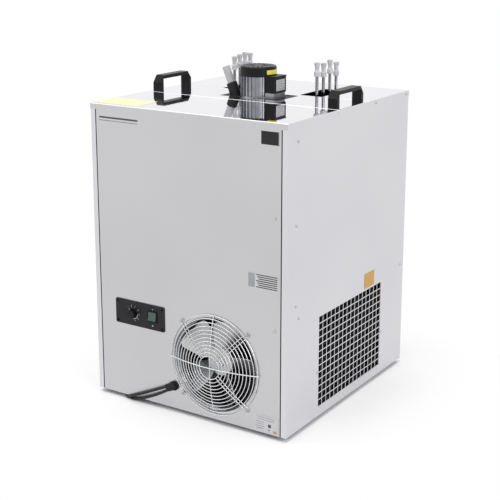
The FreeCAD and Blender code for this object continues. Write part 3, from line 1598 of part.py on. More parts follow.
# Fan guard: welded rings on a shallow dome, two long stays over them and four hairpin stays under them
add_sizes("fan guard", {
    "guard_radius": 125,
    "guard_pitch": 8.75,
    "guard_rings": 12,
    "guard_dome": 19,
    "ring_wire": 1.1,
    "stay_wire": 1.3,
    "stay_overhang": 4,
    "hairpin_half": 4.5,
    "hairpin_flare": 8,
    "guard_washer": 6,
    "guard_washer_wall": 1,
    "guard_bolt_head": 3.8,
    "guard_bolt_head_height": 2.6,
    "guard_bolt_length": 14,
    "guard_nut": 4,
    "guard_nut_height": 3.2,
    "slot_share": 0.4,
    "bend_share": 0.45,
})


def guard_shape():
    """All wires of the guard about the fan's axis, each one a solid that touches its neighbours."""
    wire = value("ring_wire")
    stay = value("stay_wire")
    rim = value("guard_radius")
    rise = value("guard_dome")
    sphere = (rim * rim + rise * rise) / (2 * rise)
    rim_height = 3 * wire
    centre = rim_height - math.sqrt(sphere * sphere - rim * rim)
    pieces = []
    for index in range(round(value("guard_rings"))):
        reach = rim - index * value("guard_pitch")
        height = centre + math.sqrt(sphere * sphere - reach * reach)
        pieces.append(Part.makeTorus(reach, wire, Vector(0, 0, height)))
    long_reach = rim + value("stay_overhang")
    for across, gap in ((Vector(1, 0, 0), wire + stay), (Vector(0, 1, 0), 0 - wire - stay)):
        far = sphere + gap
        reach = long_reach if gap > 0 else rim - 2 * wire
        end_height = centre + math.sqrt(far * far - reach * reach)
        arc = Part.Arc(
            across * (0 - reach) + upward * end_height, upward * (centre + far),
            across * reach + upward * end_height)
        pieces.append(rod_along(Part.Wire([arc.toShape()]), stay))
    inside = sphere - 2 * wire
    flare = value("hairpin_flare")
    lean = math.acos((wire + flare - centre) / (inside + flare))
    start = math.asin((rim - (value("guard_rings") - 1) * value("guard_pitch")) / inside)
    half = value("hairpin_half")

    def on_dome(angle, side):
        return Vector(inside * math.sin(angle), side * half, centre + inside * math.cos(angle))

    def leg(side):
        """One wire of a hairpin, from the inner ring out to the eye."""
        low = on_dome(lean, side)
        end = Vector((inside + flare) * math.sin(lean), side * half, wire)
        bend = lean / 2
        hinge = low + Vector(flare * math.sin(lean), 0, flare * math.cos(lean))
        middle = hinge - Vector(flare * math.sin(bend), 0, flare * math.cos(bend))
        eye = Vector(value("guard_bolt_reach"), side * half, wire)
        return [
            Part.Arc(on_dome(start, side), on_dome((start + lean) / 2, side), low).toShape(),
            Part.Arc(low, middle, end).toShape(),
            Part.LineSegment(end, eye).toShape(),
        ]

    eye_x = value("guard_bolt_reach")
    loop = Part.Arc(Vector(eye_x, half, wire), Vector(eye_x + half, 0, wire), Vector(eye_x, 0 - half, wire))
    back = [edge.reversed() for edge in reversed(leg(-1))]
    hairpin = rod_along(Part.Wire(leg(1) + [loop.toShape()] + back), wire)
    for turn in (45, 135, 225, 315):
        copy = hairpin.copy()
        copy.rotate(Vector(0, 0, 0), upward, turn)
        pieces.append(copy)
    return Part.makeCompound(pieces)


set_before_front(feature("fan_guard", guard_shape()))


def guard_bolt():
    """Screw with a washer over the eye, and its nut behind the bracket's foot."""
    washer_top = value("2 * ring_wire + guard_washer_wall")
    grip = value("panel_wall + shroud_wall + arm_wall")
    shank = value("guard_bolt_radius")
    solid = Part.makeCylinder(value("guard_washer"), value("guard_washer_wall"), upward * value("2 * ring_wire"))
    solid = solid.fuse(Part.makeCylinder(
        value("guard_bolt_head"), value("guard_bolt_head_height"), upward * washer_top))
    head_top = washer_top + value("guard_bolt_head_height")
    length = value("guard_bolt_length") + washer_top
    solid = solid.fuse(Part.makeCylinder(shank, length, upward * (washer_top - length)))
    slot = value("guard_bolt_head") * value("slot_share")
    solid = solid.cut(Part.makeBox(
        4 * slot, slot, 2 * slot, Vector(-2 * slot, -slot / 2, head_top - slot)))
    nut_radius = value("guard_nut")
    corners = [
        Vector(nut_radius * math.cos(math.radians(60 * index)), nut_radius * math.sin(math.radians(60 * index)),
               0 - grip - value("guard_nut_height"))
        for index in range(7)
    ]
    nut = Part.Face(Part.makePolygon(corners)).extrude(upward * value("guard_nut_height"))
    return solid.fuse(nut).removeSplitter()


one_bolt = guard_bolt()
group("fan_guard_bolts", one_bolt, [
    (Vector(value("fan_across") + across * value("guard_bolt_reach"), value(front_face),
            value(fan_z) + up * value("guard_bolt_reach")), to_front)
    for across, up in guard_bolts
])

# Control plate with its thermostat and lit rocker switch
plate = new_body("control_plate")
sheet_pad = pad(plate, outline(plate, "XZ_Plane", rectangle(
    "control_across - control_width / 2", f"{knob_z} - control_height / 2",
    "control_across + control_width / 2", f"{knob_z} + control_height / 2",
), half_depth, "Sheet"), "control_wall")
doc.recompute()
corner = plate.newObject("PartDesign::Fillet", "Corners")
corner.Base = (sheet_pad, [
    f"Edge{index}" for index, edge in enumerate(sheet_pad.Shape.Edges, 1)
    if edge.BoundBox.YLength > value("control_wall") / 2
])
bind(corner, Radius="control_corner")
rivet_spots = [
    (f"control_across + {across} * (control_width / 2 - rivet_inset)",
     f"{knob_z} + {up} * (control_height / 2 - rivet_inset)")
    for across in ("1", "(0 - 1)") for up in ("1", "(0 - 1)")
]
rivet_holes = [(x, z, "rivet_radius + hole_gap") for x, z in rivet_spots]
outer_level = "body_depth / 2 + control_wall"
pocket(plate, circles(plate, "XZ_Plane", rivet_holes + [
    (knob_x, knob_z, "spindle_hole"),
], outer_level, "Holes"), "control_wall + overrun")
pocket(plate, outline(plate, "XZ_Plane", square(
    switch_x, switch_z, "(switch_body + 2 * hole_gap)"), outer_level, "SwitchHole"), "control_wall + overrun")
pocket(front, circles(front, "XZ_Plane", rivet_holes, half_depth, "RivetHoles"), "panel_wall + overrun")
fasten(screw(
    value("rivet_head"), value("rivet_head_height"), value("rivet_radius"), value("rivet_length"),
), [
    (Vector(value(x), value(f"{front_face} - control_wall"), value(z)), to_front) for x, z in rivet_spots
])

add_sizes("thermostat", {
    "thermostat_width": 46,
    "thermostat_depth": 40,
    "bush_radius": 4.8,
    "bush_front": 4,
    "thermostat_nut": 7.5,
    "thermostat_nut_height": 2.4,
    "spindle_radius": 3,
    "spindle_length": 9,
    "knob_radius": 12,
    "knob_height": 14,
    "knob_gap": 0.3,
    "knob_wall": 2,
    "knob_cavity": 5.5,
    "knob_edge": 1.2,
    "flute_radius": 2.2,
    "flute_bite": 0.8,
    "flute_count": 12,
    "pointer_width": 1.6,
    "pointer_deep": 0.7,
})
thermostat = new_body("thermostat")
pad(thermostat, outline(thermostat, "XY_Plane", rectangle(
    "0 - thermostat_width / 2", "0 - thermostat_width / 2", "thermostat_width / 2", "thermostat_width / 2",
), "0 - control_wall - panel_wall - thermostat_depth", "Case"), "thermostat_depth")
pad(thermostat, circles(thermostat, "XY_Plane", [
    ("0", "0", "bush_radius")], "0 - control_wall - panel_wall", "Bush"), "control_wall + panel_wall + bush_front")
pad(thermostat, circles(thermostat, "XY_Plane", [
    ("0", "0", "thermostat_nut")], "0", "Nut"), "thermostat_nut_height")
pocket(thermostat, circles(thermostat, "XY_Plane", [
    ("0", "0", "spindle_radius + running_gap")], "bush_front", "Bore"), "bush_front + spindle_length + overrun / 5")
place(thermostat, x=knob_x, y=f"{front_face} - control_wall", z=knob_z, turn=facing_front)

knob = turned("thermostat_knob", [
    ("0", "0 - spindle_length"), ("spindle_radius", "0 - spindle_length"), ("spindle_radius", "knob_cavity"),
    ("knob_radius - knob_wall", "knob_cavity"), ("knob_radius - knob_wall", "knob_gap"),
    ("knob_radius", "knob_gap"), ("knob_radius", "knob_height - knob_edge"),
    ("knob_radius - knob_edge", "knob_height"), ("0", "knob_height"),
])
flute = pocket(knob, circles(knob, "XY_Plane", [
    ("knob_radius + flute_radius - flute_bite", "0", "flute_radius")], "knob_height", "Flute"),
    "knob_height - 3 * knob_gap")
around(knob, [flute], "flute_count")
pocket(knob, outline(knob, "XY_Plane", rectangle(
    "0 - pointer_width / 2", "knob_wall", "pointer_width / 2", "knob_radius - knob_edge",
), "knob_height", "Pointer"), "pointer_deep")
place(knob, x=knob_x, y=f"{front_face} - control_wall", z=knob_z, turn=facing_front)

add_sizes("switch", {
    "bezel_size": 29,
    "bezel_height": 2,
    "bezel_corner": 2,
    "switch_depth": 28,
    "cavity_size": 23.6,
    "cavity_depth": 14,
    "pivot_down": 3,
    "pivot_radius": 1.5,
    "pivot_end": 12.1,
    "rocker_width": 22.6,
    "rocker_half": 10.6,
    "rocker_tip": 5,
    "rocker_valley": 3.4,
    "rocker_back": 6,
    "rocker_back_half": 5,
    "rocker_rest": 8,
    "tab_width": 5,
    "tab_wall": 0.8,
    "tab_length": 9,
    "tab_spread": 6,
})
housing = new_body("switch_housing")
bezel = pad(housing, outline(
    housing, "XY_Plane", square("0", "0", "bezel_size"), "0", "Bezel"), "bezel_height")
doc.recompute()
soft = housing.newObject("PartDesign::Fillet", "BezelCorners")
soft.Base = (bezel, [
    f"Edge{index}" for index, edge in enumerate(bezel.Shape.Edges, 1)
    if edge.BoundBox.ZLength > value("bezel_height") / 2
])
bind(soft, Radius="bezel_corner")
pad(housing, outline(housing, "XY_Plane", square("0", "0", "switch_body"), "0", "Case"), "switch_depth", reverse=True)
for across in ("1", "(0 - 1)"):
    for up in ("1", "(0 - 1)"):
        pad(housing, outline(housing, "XY_Plane", rectangle(
            f"{across} * tab_spread - tab_width / 2", f"{up} * tab_spread - tab_wall / 2",
            f"{across} * tab_spread + tab_width / 2", f"{up} * tab_spread + tab_wall / 2",
        ), "0 - switch_depth", "Tab"), "tab_length", reverse=True)
pocket(housing, outline(housing, "XY_Plane", square(
    "0", "0", "cavity_size"), "bezel_height", "Cavity"), "cavity_depth + bezel_height")
pocket(housing, circles(housing, "YZ_Plane", [
    ("0", "bezel_height - pivot_down", "pivot_radius + running_gap"),
], "0", "PivotBores"), "2 * (pivot_end + hole_gap)", both=True)
switch_place = dict(x=switch_x, y=f"{front_face} - control_wall", z=switch_z)
place(housing, turn=facing_front, **switch_place)

rocker = new_body("switch_rocker")
pad(rocker, outline(rocker, "YZ_Plane", [
    ("0 - rocker_half", "rocker_tip"), ("0 - rocker_half", "rocker_tip / 2"),
    ("0 - rocker_back_half", "0 - rocker_back"), ("rocker_back_half", "0 - rocker_back"),
    ("rocker_half", "rocker_tip / 2"), ("rocker_half", "rocker_tip"), ("0", "rocker_valley"),
], "0", "SideView"), "rocker_width", both=True)
pad(rocker, circles(rocker, "YZ_Plane", [("0", "0", "pivot_radius")], "0", "Pivots"), "2 * pivot_end", both=True)
pivot_y = f"({front_face} - control_wall - bezel_height + pivot_down)"
bind(rocker, base_x=switch_x, base_y=pivot_y, base_z=switch_z)
rocker.Placement = Placement(
    rocker.Placement.Base, Rotation(Vector(1, 0, 0), 90 - value("rocker_rest")))

# Cable gland with a hood that turns the two leads down beside the panel
add_sizes("cable gland", {
    "gland_flange": 12,
    "gland_flange_height": 3.6,
    "gland_stem": 16,
    "gland_nut": 12,
    "gland_nut_height": 5,
    "hood_height": 8.5,
    "hood_reach": 20,
    "hood_half": 9,
    "hood_thickness": 10,
    "hood_edge": 2,
    "hood_lean": 22,
    "lead_radius": 3.25,
    "lead_half_pitch": 3.8,
    "lead_seat": 12,
})


def gland_shape():
    """Flange, stem and nut on the panel's axis, and the hood with two bores."""
    stem = value("gland_bore")
    inner = value("panel_wall")
    body = Part.makeCylinder(value("gland_flange"), value("gland_flange_height"))
    body = body.fuse(Part.makeCylinder(stem, value("gland_stem"), Vector(0, 0, 0 - value("gland_stem"))))
    body = body.fuse(Part.makeCylinder(
        value("gland_nut"), value("gland_nut_height"), Vector(0, 0, 0 - inner - value("gland_nut_height"))))
    half = value("hood_half")
    thick = value("hood_thickness")
    middle = value("hood_height")
    low = middle - thick / 2
    hood = Part.makeBox(value("hood_reach"), 2 * half, thick, Vector(0, 0 - half, low))
    hood = hood.fuse(Part.makeCylinder(half, thick, Vector(0, 0, low))).removeSplitter()
    edges = [edge for edge in hood.Edges if edge.BoundBox.ZMin > low + thick / 2]
    hood = hood.makeFillet(value("hood_edge"), edges)
    body = body.fuse(hood)
    depth = value("lead_seat")
    for side in (1, -1):
        body = body.cut(Part.makeCylinder(
            value("lead_radius"), depth,
            Vector(value("hood_reach") - depth, side * value("lead_half_pitch"), middle), Vector(1, 0, 0)))
    return body


gland = feature("cable_gland", gland_shape())
hood_turn = Rotation(upward, 180 + value("hood_lean"))
gland.Placement = Placement(
    Vector(value("gland_across"), value(front_face), value(gland_z)), facing_front * hood_turn)

# Two flexible leads: down from the gland, under the cabinet, and coiled beside it with plain plugs
add_sizes("leads", {
    "loop_across": -61,
    "near_loop_back": 0,
    "far_loop_back": 130,
    "loop_inner": 29,
    "loop_pitch": 8.1,
    "loop_turns": 2.5,
    "loop_low": 3.4,
    "tail_first": 32,
    "tail_rise": 54,
    "tail_last": 34,
    "plug_radius": 18,
    "plug_neck": 6,
    "plug_grip": 14,
    "plug_length": 42,
    "plug_face": 10,
    "plug_seat": 10,
    "plug_bevel": 2,
    "pin_radius": 2.4,
    "pin_half_pitch": 9.5,
    "pin_length": 19,
})
lead_tables = {
    "near": [
        ("gland", -56, -8, 51.4), ("gland", -139, -9, 3.7), ("corner", 74, 30, 3.4), ("corner", 74, 80, 3.4),
        ("corner", 37, 130, 3.4), ("corner", -15.5, 184, 3.4), ("coil", 0, -62, 3.4),
    ],
    "far": [
        ("gland", -49, -9.2, 46.3), ("gland", -121, -11, 3.5), ("corner", 90, 19, 3.4), ("corner", 86, 76, 3.4),
        ("corner", 54, 130, 3.4), ("corner", 18, 186, 3.4), ("corner", 16, 262, 3.4), ("corner", 18, 338, 3.4),
        ("coil", 0, -42, 3.4),
    ],
}
for lead_name, table in lead_tables.items():
    add_sizes(f"{lead_name} lead", {
        f"{lead_name}_{index}_{axis}": number
        for index, (anchor, *numbers) in enumerate(table, 1) for axis, number in zip("xyz", numbers)
    })


def biarc(first, along_first, last, along_last):
    """Two arcs that join two points and keep both directions."""
    chord = last - first
    total = along_first + along_last
    across = 2 * (1 - along_first.dot(along_last))
    push = chord.dot(total)
    reach = (math.sqrt(push * push + across * chord.dot(chord)) - push) / across
    near_corner = first + along_first * reach
    far_corner = last - along_last * reach
    joint = (near_corner + far_corner) * 0.5
    edges = []
    for begin, corner, end in ((first, near_corner, joint), (joint, far_corner, last)):
        back = (begin - corner).normalize()
        ahead = (end - corner).normalize()
        half = math.acos(max(-1, min(1, back.dot(ahead)))) / 2
        bend = reach * math.tan(half)
        centre = corner + (back + ahead).normalize() * (bend / math.sin(half))
        edges.append(Part.Arc(begin, centre + (corner - centre).normalize() * bend, end).toShape())
    return edges


def coil_stations(centre):
    """Places and directions each quarter turn: inward below, up a layer, and outward above."""
    pitch = value("loop_pitch")
    inner = value("loop_inner")
    low = value("loop_low")
    first_turns = value("loop_turns")
    outer = inner + pitch * first_turns
    stations = []
    quarters = round(first_turns * 4)
    for index in range(quarters + 1):
        stations.append((index * 90, outer - pitch * index / 4, 0, low, 0))
    stations.append((quarters * 90 + 90, inner, 0, low + pitch / 2, 1.5 * pitch / (math.pi * inner)))
    for index in range(quarters):
        stations.append(((quarters + 2 + index) * 90, inner + pitch * index / 4, 0, low + pitch, 0))
    places = []
    for position, (angle, radius, _, height, climb) in enumerate(stations):
        turn = math.radians(angle)
        out = Vector(math.cos(turn), math.sin(turn), 0)
        along = Vector(-math.sin(turn), math.cos(turn), 0)
        flat = position in (0, quarters, quarters + 1, quarters + 2, len(stations) - 1)
        drift = 0 if flat else (-pitch if position < quarters else pitch) / (2 * math.pi * radius)
        direction = (along + out * drift + upward * climb).normalize()
        places.append((centre + out * radius + upward * height, direction))
    return places


def eased(points):
    """The roomiest bend for each corner: it takes 0.45 of the shorter run beside it."""
    radii = []
    for before, corner, after in zip(points, points[1:], points[2:]):
        run = min((corner - before).Length, (after - corner).Length)
        half_turn = (corner - before).getAngle(after - corner) / 2
        radii.append(value("bend_share") * run / math.tan(half_turn))
    return radii


def lead_path(name, side):
    """A lead's centre line from its seat in the gland to its plug, and its smallest bend."""
    lean = math.radians(value("hood_lean"))
    along = Vector(-math.cos(lean), 0, -math.sin(lean))
    beside = Vector(-math.sin(lean), 0, math.cos(lean))
    hood = Vector(value("gland_across"), value(f"{front_face} - hood_height"), value(gland_z))
    start = hood + beside * (side * value("lead_half_pitch")) + along * value("hood_reach - lead_seat")
    gland_foot = Vector(value("gland_across"), value(front_face), 0)
    corner_foot = Vector(0 - value(half_width), value(front_face), 0)
    centre = Vector(value("loop_across") - value(half_width), value(f"{name}_loop_back"), 0)
    stations = coil_stations(centre)
    anchors = {"gland": gland_foot, "corner": corner_foot, "coil": Vector(stations[0][0].x, centre.y, 0)}
    points = [start]
    for index, (anchor, *_) in enumerate(lead_tables[name], 1):
        points.append(anchors[anchor] + Vector(*[value(f"{name}_{index}_{axis}") for axis in "xyz"]))
    first = points[1]
    reach = (first.x - start.x) / along.x
    points[1] = Vector(first.x, start.y, start.z + along.z * reach)
    points.append(stations[0][0])
    edges = list(bent_path(points, eased(points)).Edges)
    for one, two in zip(stations, stations[1:]):
        edges += biarc(*one, *two)
    last, heading = stations[-1]
    end_height = value("plug_radius")
    tail = [last, last + heading * value("tail_first")]
    tail.append(tail[-1] + heading * value("tail_rise") + upward * (end_height - last.z))
    tail.append(tail[-1] + heading * value("tail_last"))
    edges += bent_path(tail, eased(tail)).Edges
    smallest = min(eased(points) + eased(tail) + [value("loop_inner")])
    return Part.Wire(edges), smallest, tail[-1], heading


def least_gap(path):
    """The smallest space between two turns of a lead."""
    length = path.Length
    spots = path.discretize(Number=round(length / value("lead_radius")))
    apart = math.ceil(value("loop_inner") * 2 / value("lead_radius"))
    nearest = min(
        one.distanceToPoint(two) for index, one in enumerate(spots) for two in spots[index + apart:])
    return nearest - 2 * value("lead_radius")


def plug_shape():
    """A round two-pin plug about its own axis, with its pins along Z and the lead's seat behind."""
    neck = value("plug_neck")
    grip = value("plug_grip")
    radius = value("plug_radius")
    length = value("plug_length")
    face = value("plug_face")
    bevel = value("plug_bevel")
    profile = [
        Vector(0, 0, 0), Vector(neck, 0, 0), Vector(grip, 0, length / 3), Vector(grip, 0, length - face),
        Vector(radius, 0, length - face + bevel), Vector(radius, 0, length), Vector(0, 0, length),
    ]
    solid = Part.Face(Part.makePolygon(profile + [Vector(0, 0, 0)])).revolve(Vector(0, 0, 0), upward, 360)
    for side in (1, -1):
        solid = solid.fuse(Part.makeCylinder(
            value("pin_radius"), value("pin_length"), Vector(0, side * value("pin_half_pitch"), length)))
    return solid.cut(Part.makeCylinder(value("lead_radius"), value("plug_seat")))


for name, side in (("near", 1), ("far", -1)):
    path, smallest, end, heading = lead_path(name, side)
    lead = feature(f"{name}_lead", rod_along(path, value("lead_radius")))
    plug = feature(f"{name}_plug", plug_shape())
    plug.Placement = Placement(end - heading * value("plug_seat"), Rotation(upward, heading))
    print(name, "lead: length", round(path.Length), "smallest bend", round(smallest, 1), "tube radius",
          value("lead_radius"), "least gap", round(least_gap(path), 2))

feature("cabinet_fasteners", Part.makeCompound(fasteners))


# Check every object, then write one file for each sub-part
doc.recompute()
for thing in doc.Objects:
    if "Invalid" in thing.State or "Error" in thing.State:
        raise RuntimeError(f"{thing.Label} did not build: {thing.State}")
for name, thing in parts.items():
    if thing.Shape.isNull() or not thing.Shape.isValid() or not thing.Shape.Solids:
        raise RuntimeError(f"{name} is not a valid solid")
os.makedirs("parts", exist_ok=True)
for name, thing in parts.items():
    thing.Shape.exportStep(f"parts/{name}.step")
print(len(parts), "sub-parts written")
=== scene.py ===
import math

import bpy
from mathutils import Matrix, Vector


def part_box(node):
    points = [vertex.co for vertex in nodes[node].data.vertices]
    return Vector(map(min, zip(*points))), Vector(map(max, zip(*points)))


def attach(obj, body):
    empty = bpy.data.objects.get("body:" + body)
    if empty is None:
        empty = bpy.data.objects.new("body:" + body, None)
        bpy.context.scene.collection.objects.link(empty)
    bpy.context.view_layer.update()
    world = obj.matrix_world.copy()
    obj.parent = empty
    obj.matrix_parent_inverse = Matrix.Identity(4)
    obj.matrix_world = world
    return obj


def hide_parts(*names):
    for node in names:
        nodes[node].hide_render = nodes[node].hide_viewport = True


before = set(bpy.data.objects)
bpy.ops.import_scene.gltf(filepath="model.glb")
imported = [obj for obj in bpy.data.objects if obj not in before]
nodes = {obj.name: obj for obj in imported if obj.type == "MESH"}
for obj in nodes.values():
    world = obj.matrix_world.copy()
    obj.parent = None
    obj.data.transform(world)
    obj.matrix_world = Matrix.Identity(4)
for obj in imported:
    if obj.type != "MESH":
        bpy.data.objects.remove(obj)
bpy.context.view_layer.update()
bpy.ops.object.select_all(action="DESELECT")
print("loaded", len(nodes), "parts of the cooler")


# sRGB hex to the linear colour that sockets take
def colourOf(hexText):
    channels = [int(hexText[place:place + 2], 16) / 255 for place in (1, 3, 5)]
    return [one / 12.92 if one <= 0.04045 else ((one + 0.055) / 1.055) ** 2.4 for one in channels] + [1]


# one node, its settings, and what goes into its sockets: a value or another node's output
def addNode(tree, kind, sockets=None, **settings):
    node = tree.nodes.new(kind)
    for name, setting in settings.items():
        setattr(node, name, setting)
    for name, given in (sockets or {}).items():
        if isinstance(given, bpy.types.NodeSocket):
            tree.links.new(given, node.inputs[name])
        else:
            node.inputs[name].default_value = given
    return node


# where the photograph was taken from: near the right front corner, just above the lid
camera = {
    "azimuth": 33.06,
    "elevation": 13.81,
    "distance": 2.9056,
    "lens": 81.49,
    "sensor": 36,
    "shiftUp": -0.1,
    "aside": -0.01265,
    "height": 0.48186,
}


def placeCamera():
    turn = math.radians(camera["azimuth"])
    rise = math.radians(camera["elevation"])
    right = Vector((math.cos(turn), math.sin(turn), 0))
    back = Vector((math.sin(turn) * math.cos(rise), -math.cos(turn) * math.cos(rise), math.sin(rise)))
    target = right * camera["aside"] + Vector((0, 0, camera["height"]))
    bpy.ops.object.camera_add(location=target + back * camera["distance"])
    view = bpy.context.object
    view.name = "photoView"
    view.rotation_euler = back.to_track_quat("Z", "Y").to_euler()
    view.data.lens = camera["lens"]
    view.data.sensor_width = camera["sensor"]
    view.data.shift_y = camera["shiftUp"]
    bpy.context.scene.camera = view
    bpy.ops.object.select_all(action="DESELECT")


placeCamera()
print("camera placed")


# two mains leads: out of the hooded gland, down the front panel, under its edge and out at the left side, in metres
# each ends in a small coil on the floor beside the left panel, out of the camera's view, with its plug beside it
leads = {
    "diameter": 0.0065,
    "floorHeight": 0.0034,
    "coilAcross": -0.341,
    "coilInner": 0.029,
    "coilPitch": 0.0081,
    "coilTurns": 2.5,
    "pointsPerTurn": 16,
    "nearBack": 0,
    "farBack": 0.130,
    "nearExit": (-0.04784, -0.3105, 0.07053),
    "farExit": (-0.04499, -0.3105, 0.06348),
    "near": [
        (-0.095, -0.3105, 0.0475), (-0.190, -0.311, 0.0047), (-0.211, -0.272, 0.0034), (-0.206, -0.222, 0.0034),
        (-0.243, -0.172, 0.0034), (-0.2955, -0.118, 0.0034), (-0.29175, -0.062, 0.0034),
    ],
    "far": [
        (-0.084, -0.3105, 0.0375), (-0.166, -0.313, 0.0035), (-0.196, -0.283, 0.0034), (-0.194, -0.226, 0.0034),
        (-0.226, -0.172, 0.0034), (-0.262, -0.116, 0.0034), (-0.264, -0.040, 0.0034), (-0.262, 0.036, 0.0034),
        (-0.29175, 0.088, 0.0034),
    ],
    "tail": [(-0.032, 0.0), (-0.086, 0.0065), (-0.120, 0.0065)],
    "roundness": 6,
    "smoothness": 8,
}


# the coil winds inward on the floor, climbs a layer, and winds outward on top
def coilPoints(back):
    steps = leads["pointsPerTurn"]
    below = round(leads["coilTurns"] * steps)
    climb = steps // 2
    above = below - steps // 4
    stretch = 1 / math.cos(math.pi / steps) ** 2
    points = []
    for step in range(below + climb + above + 1):
        turn = 2 * math.pi * step / steps
        inward = max(below - step, 0) + max(step - below - climb, 0)
        radius = (leads["coilInner"] + leads["coilPitch"] * inward / steps) * stretch
        layer = min(max((step - below) / climb, 0), 1)
        points.append((
            leads["coilAcross"] + radius * math.cos(turn), back + radius * math.sin(turn),
            leads["floorHeight"] + leads["coilPitch"] * layer))
    return points


def layLead(name):
    exit = leads[name + "Exit"]
    points = [exit] + leads[name] + coilPoints(leads[name + "Back"])
    last = Vector(points[-1])
    points += [(leads["coilAcross"] + across, last.y, last.z + rise) for across, rise in leads["tail"]]
    line = bpy.data.curves.new(name + "Lead", "CURVE")
    line.dimensions = "3D"
    line.bevel_depth = 1
    line.bevel_resolution = leads["roundness"]
    line.resolution_u = leads["smoothness"]
    line.use_fill_caps = True
    spline = line.splines.new("NURBS")
    spline.points.add(len(points) - 1)
    for point, place in zip(spline.points, points):
        point.co = (*place, 1)
        point.radius = leads["diameter"] / 2  # held by the points, so the curve's own box is its true one
    spline.order_u = 3
    spline.use_endpoint_u = True
    lead = bpy.data.objects.new(name + "Lead", line)
    bpy.context.scene.collection.objects.link(lead)
    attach(lead, "cabinet")
    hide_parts(name + "_lead")
    return lead


nearLead = layLead("near")
farLead = layLead("far")
print("two leads laid")


# white studio: a wide box overhead, a softer one each side, and white paper that fades into the white room
studio = {
    "fillStrength": 0.7,
    "floorColour": "#F7F7F8",
    "floorSize": 60,
    "footprint": (0.2795, 0.3015, 0),
    "footprintEdge": 0.001,
    "shadowReach": 0.3,
    "shadowKept": 0.62,
    "lamps": {
        "overhead": {"at": (-0.3, -0.4, 3.4), "aim": (0, 0, 0.3), "size": 3.2, "power": 52},
        "leftBox": {"at": (-3.0, -2.6, 2.2), "aim": (0, 0, 0.4), "size": 2.2, "power": 22},
        "rightBox": {"at": (3.4, -1.2, 2.0), "aim": (0, 0, 0.4), "size": 2.2, "power": 46},
    },
}


# 1 for what the lens, shiny metal and clear plastic see, 0 for the light itself
def whatIsSeen(tree):
    path = addNode(tree, "ShaderNodeLightPath")
    seen = addNode(tree, "ShaderNodeMath", {0: path.outputs["Is Camera Ray"], 1: path.outputs["Is Glossy Ray"]},
                   operation="MAXIMUM")
    seen = addNode(tree, "ShaderNodeMath", {0: seen.outputs[0], 1: path.outputs["Is Transmission Ray"]},
                   operation="MAXIMUM")
    return seen.outputs[0]


def buildStudio():
    world = bpy.data.worlds.new("whiteRoom")
    world.use_nodes = True
    tree = world.node_tree
    tree.nodes.clear()
    strength = addNode(tree, "ShaderNodeMapRange", {"Value": whatIsSeen(tree), "To Min": studio["fillStrength"],
                                                    "To Max": 1.0})
    white = addNode(tree, "ShaderNodeBackground", {"Color": colourOf("#FFFFFF"), "Strength": strength.outputs[0]})
    addNode(tree, "ShaderNodeOutputWorld", {"Surface": white.outputs[0]})
    bpy.context.scene.world = world
    bpy.context.scene.view_settings.view_transform = "Standard"

    for name, lamp in studio["lamps"].items():
        bpy.ops.object.light_add(type="AREA", location=lamp["at"])
        box = bpy.context.object
        box.name = name
        box.data.shape = "SQUARE"
        box.data.size = lamp["size"]
        box.data.energy = lamp["power"]
        away = Vector(lamp["at"]) - Vector(lamp["aim"])
        box.rotation_euler = away.to_track_quat("Z", "Y").to_euler()

    bpy.ops.mesh.primitive_plane_add(size=studio["floorSize"])
    floor = bpy.context.object
    floor.name = "studioFloor"
    paper = bpy.data.materials.new("studioPaper")
    paper.use_nodes = True
    tree = paper.node_tree
    tree.nodes.clear()
    matt = addNode(tree, "ShaderNodeBsdfDiffuse", {"Color": colourOf(studio["floorColour"])})
    white = addNode(tree, "ShaderNodeEmission", {"Color": colourOf("#FFFFFF"), "Strength": 1.0})
    # under the cooler the paper keeps its whole shadow, beside it a part, further out it is as white as the room
    away = addNode(tree, "ShaderNodeVectorMath", {0: addNode(tree, "ShaderNodeTexCoord").outputs["Object"]},
                   operation="ABSOLUTE")
    away = addNode(tree, "ShaderNodeVectorMath", {0: away.outputs[0], 1: studio["footprint"]}, operation="SUBTRACT")
    away = addNode(tree, "ShaderNodeVectorMath", {0: away.outputs[0], 1: (0, 0, 0)}, operation="MAXIMUM")
    away = addNode(tree, "ShaderNodeVectorMath", {0: away.outputs[0]}, operation="LENGTH").outputs["Value"]
    fade = addNode(tree, "ShaderNodeMapRange", {
        "Value": away, "From Min": 0.0, "From Max": studio["shadowReach"],
        "To Min": 1 - studio["shadowKept"], "To Max": 1.0}, interpolation_type="SMOOTHSTEP")
    beside = addNode(tree, "ShaderNodeMath", {0: away, 1: studio["footprintEdge"]}, operation="GREATER_THAN")
    share = addNode(tree, "ShaderNodeMath", {0: fade.outputs[0], 1: beside.outputs[0]}, operation="MULTIPLY")
    share = addNode(tree, "ShaderNodeMath", {0: share.outputs[0], 1: whatIsSeen(tree)}, operation="MULTIPLY")
    blend = addNode(tree, "ShaderNodeMixShader", {0: share.outputs[0], 1: matt.outputs[0], 2: white.outputs[0]})
    addNode(tree, "ShaderNodeOutputMaterial", {"Surface": blend.outputs[0]})
    floor.data.materials.append(paper)
    bpy.ops.object.select_all(action="DESELECT")


buildStudio()
print("studio lit")


# the part of a noise texture's 0 to 1 that it really fills
noiseSpan = {"From Min": 0.3, "From Max": 0.7}


# a material's bare start: its shader, and the place on the object that its patterns read
def startMaterial(name):
    material = bpy.data.materials.new(name)
    material.use_nodes = True
    tree = material.node_tree
    tree.nodes.clear()
    shader = addNode(tree, "ShaderNodeBsdfPrincipled")
    addNode(tree, "ShaderNodeOutputMaterial", {"Surface": shader.outputs[0]})
    place = addNode(tree, "ShaderNodeTexCoord").outputs["Object"]
    return material, tree, shader, place


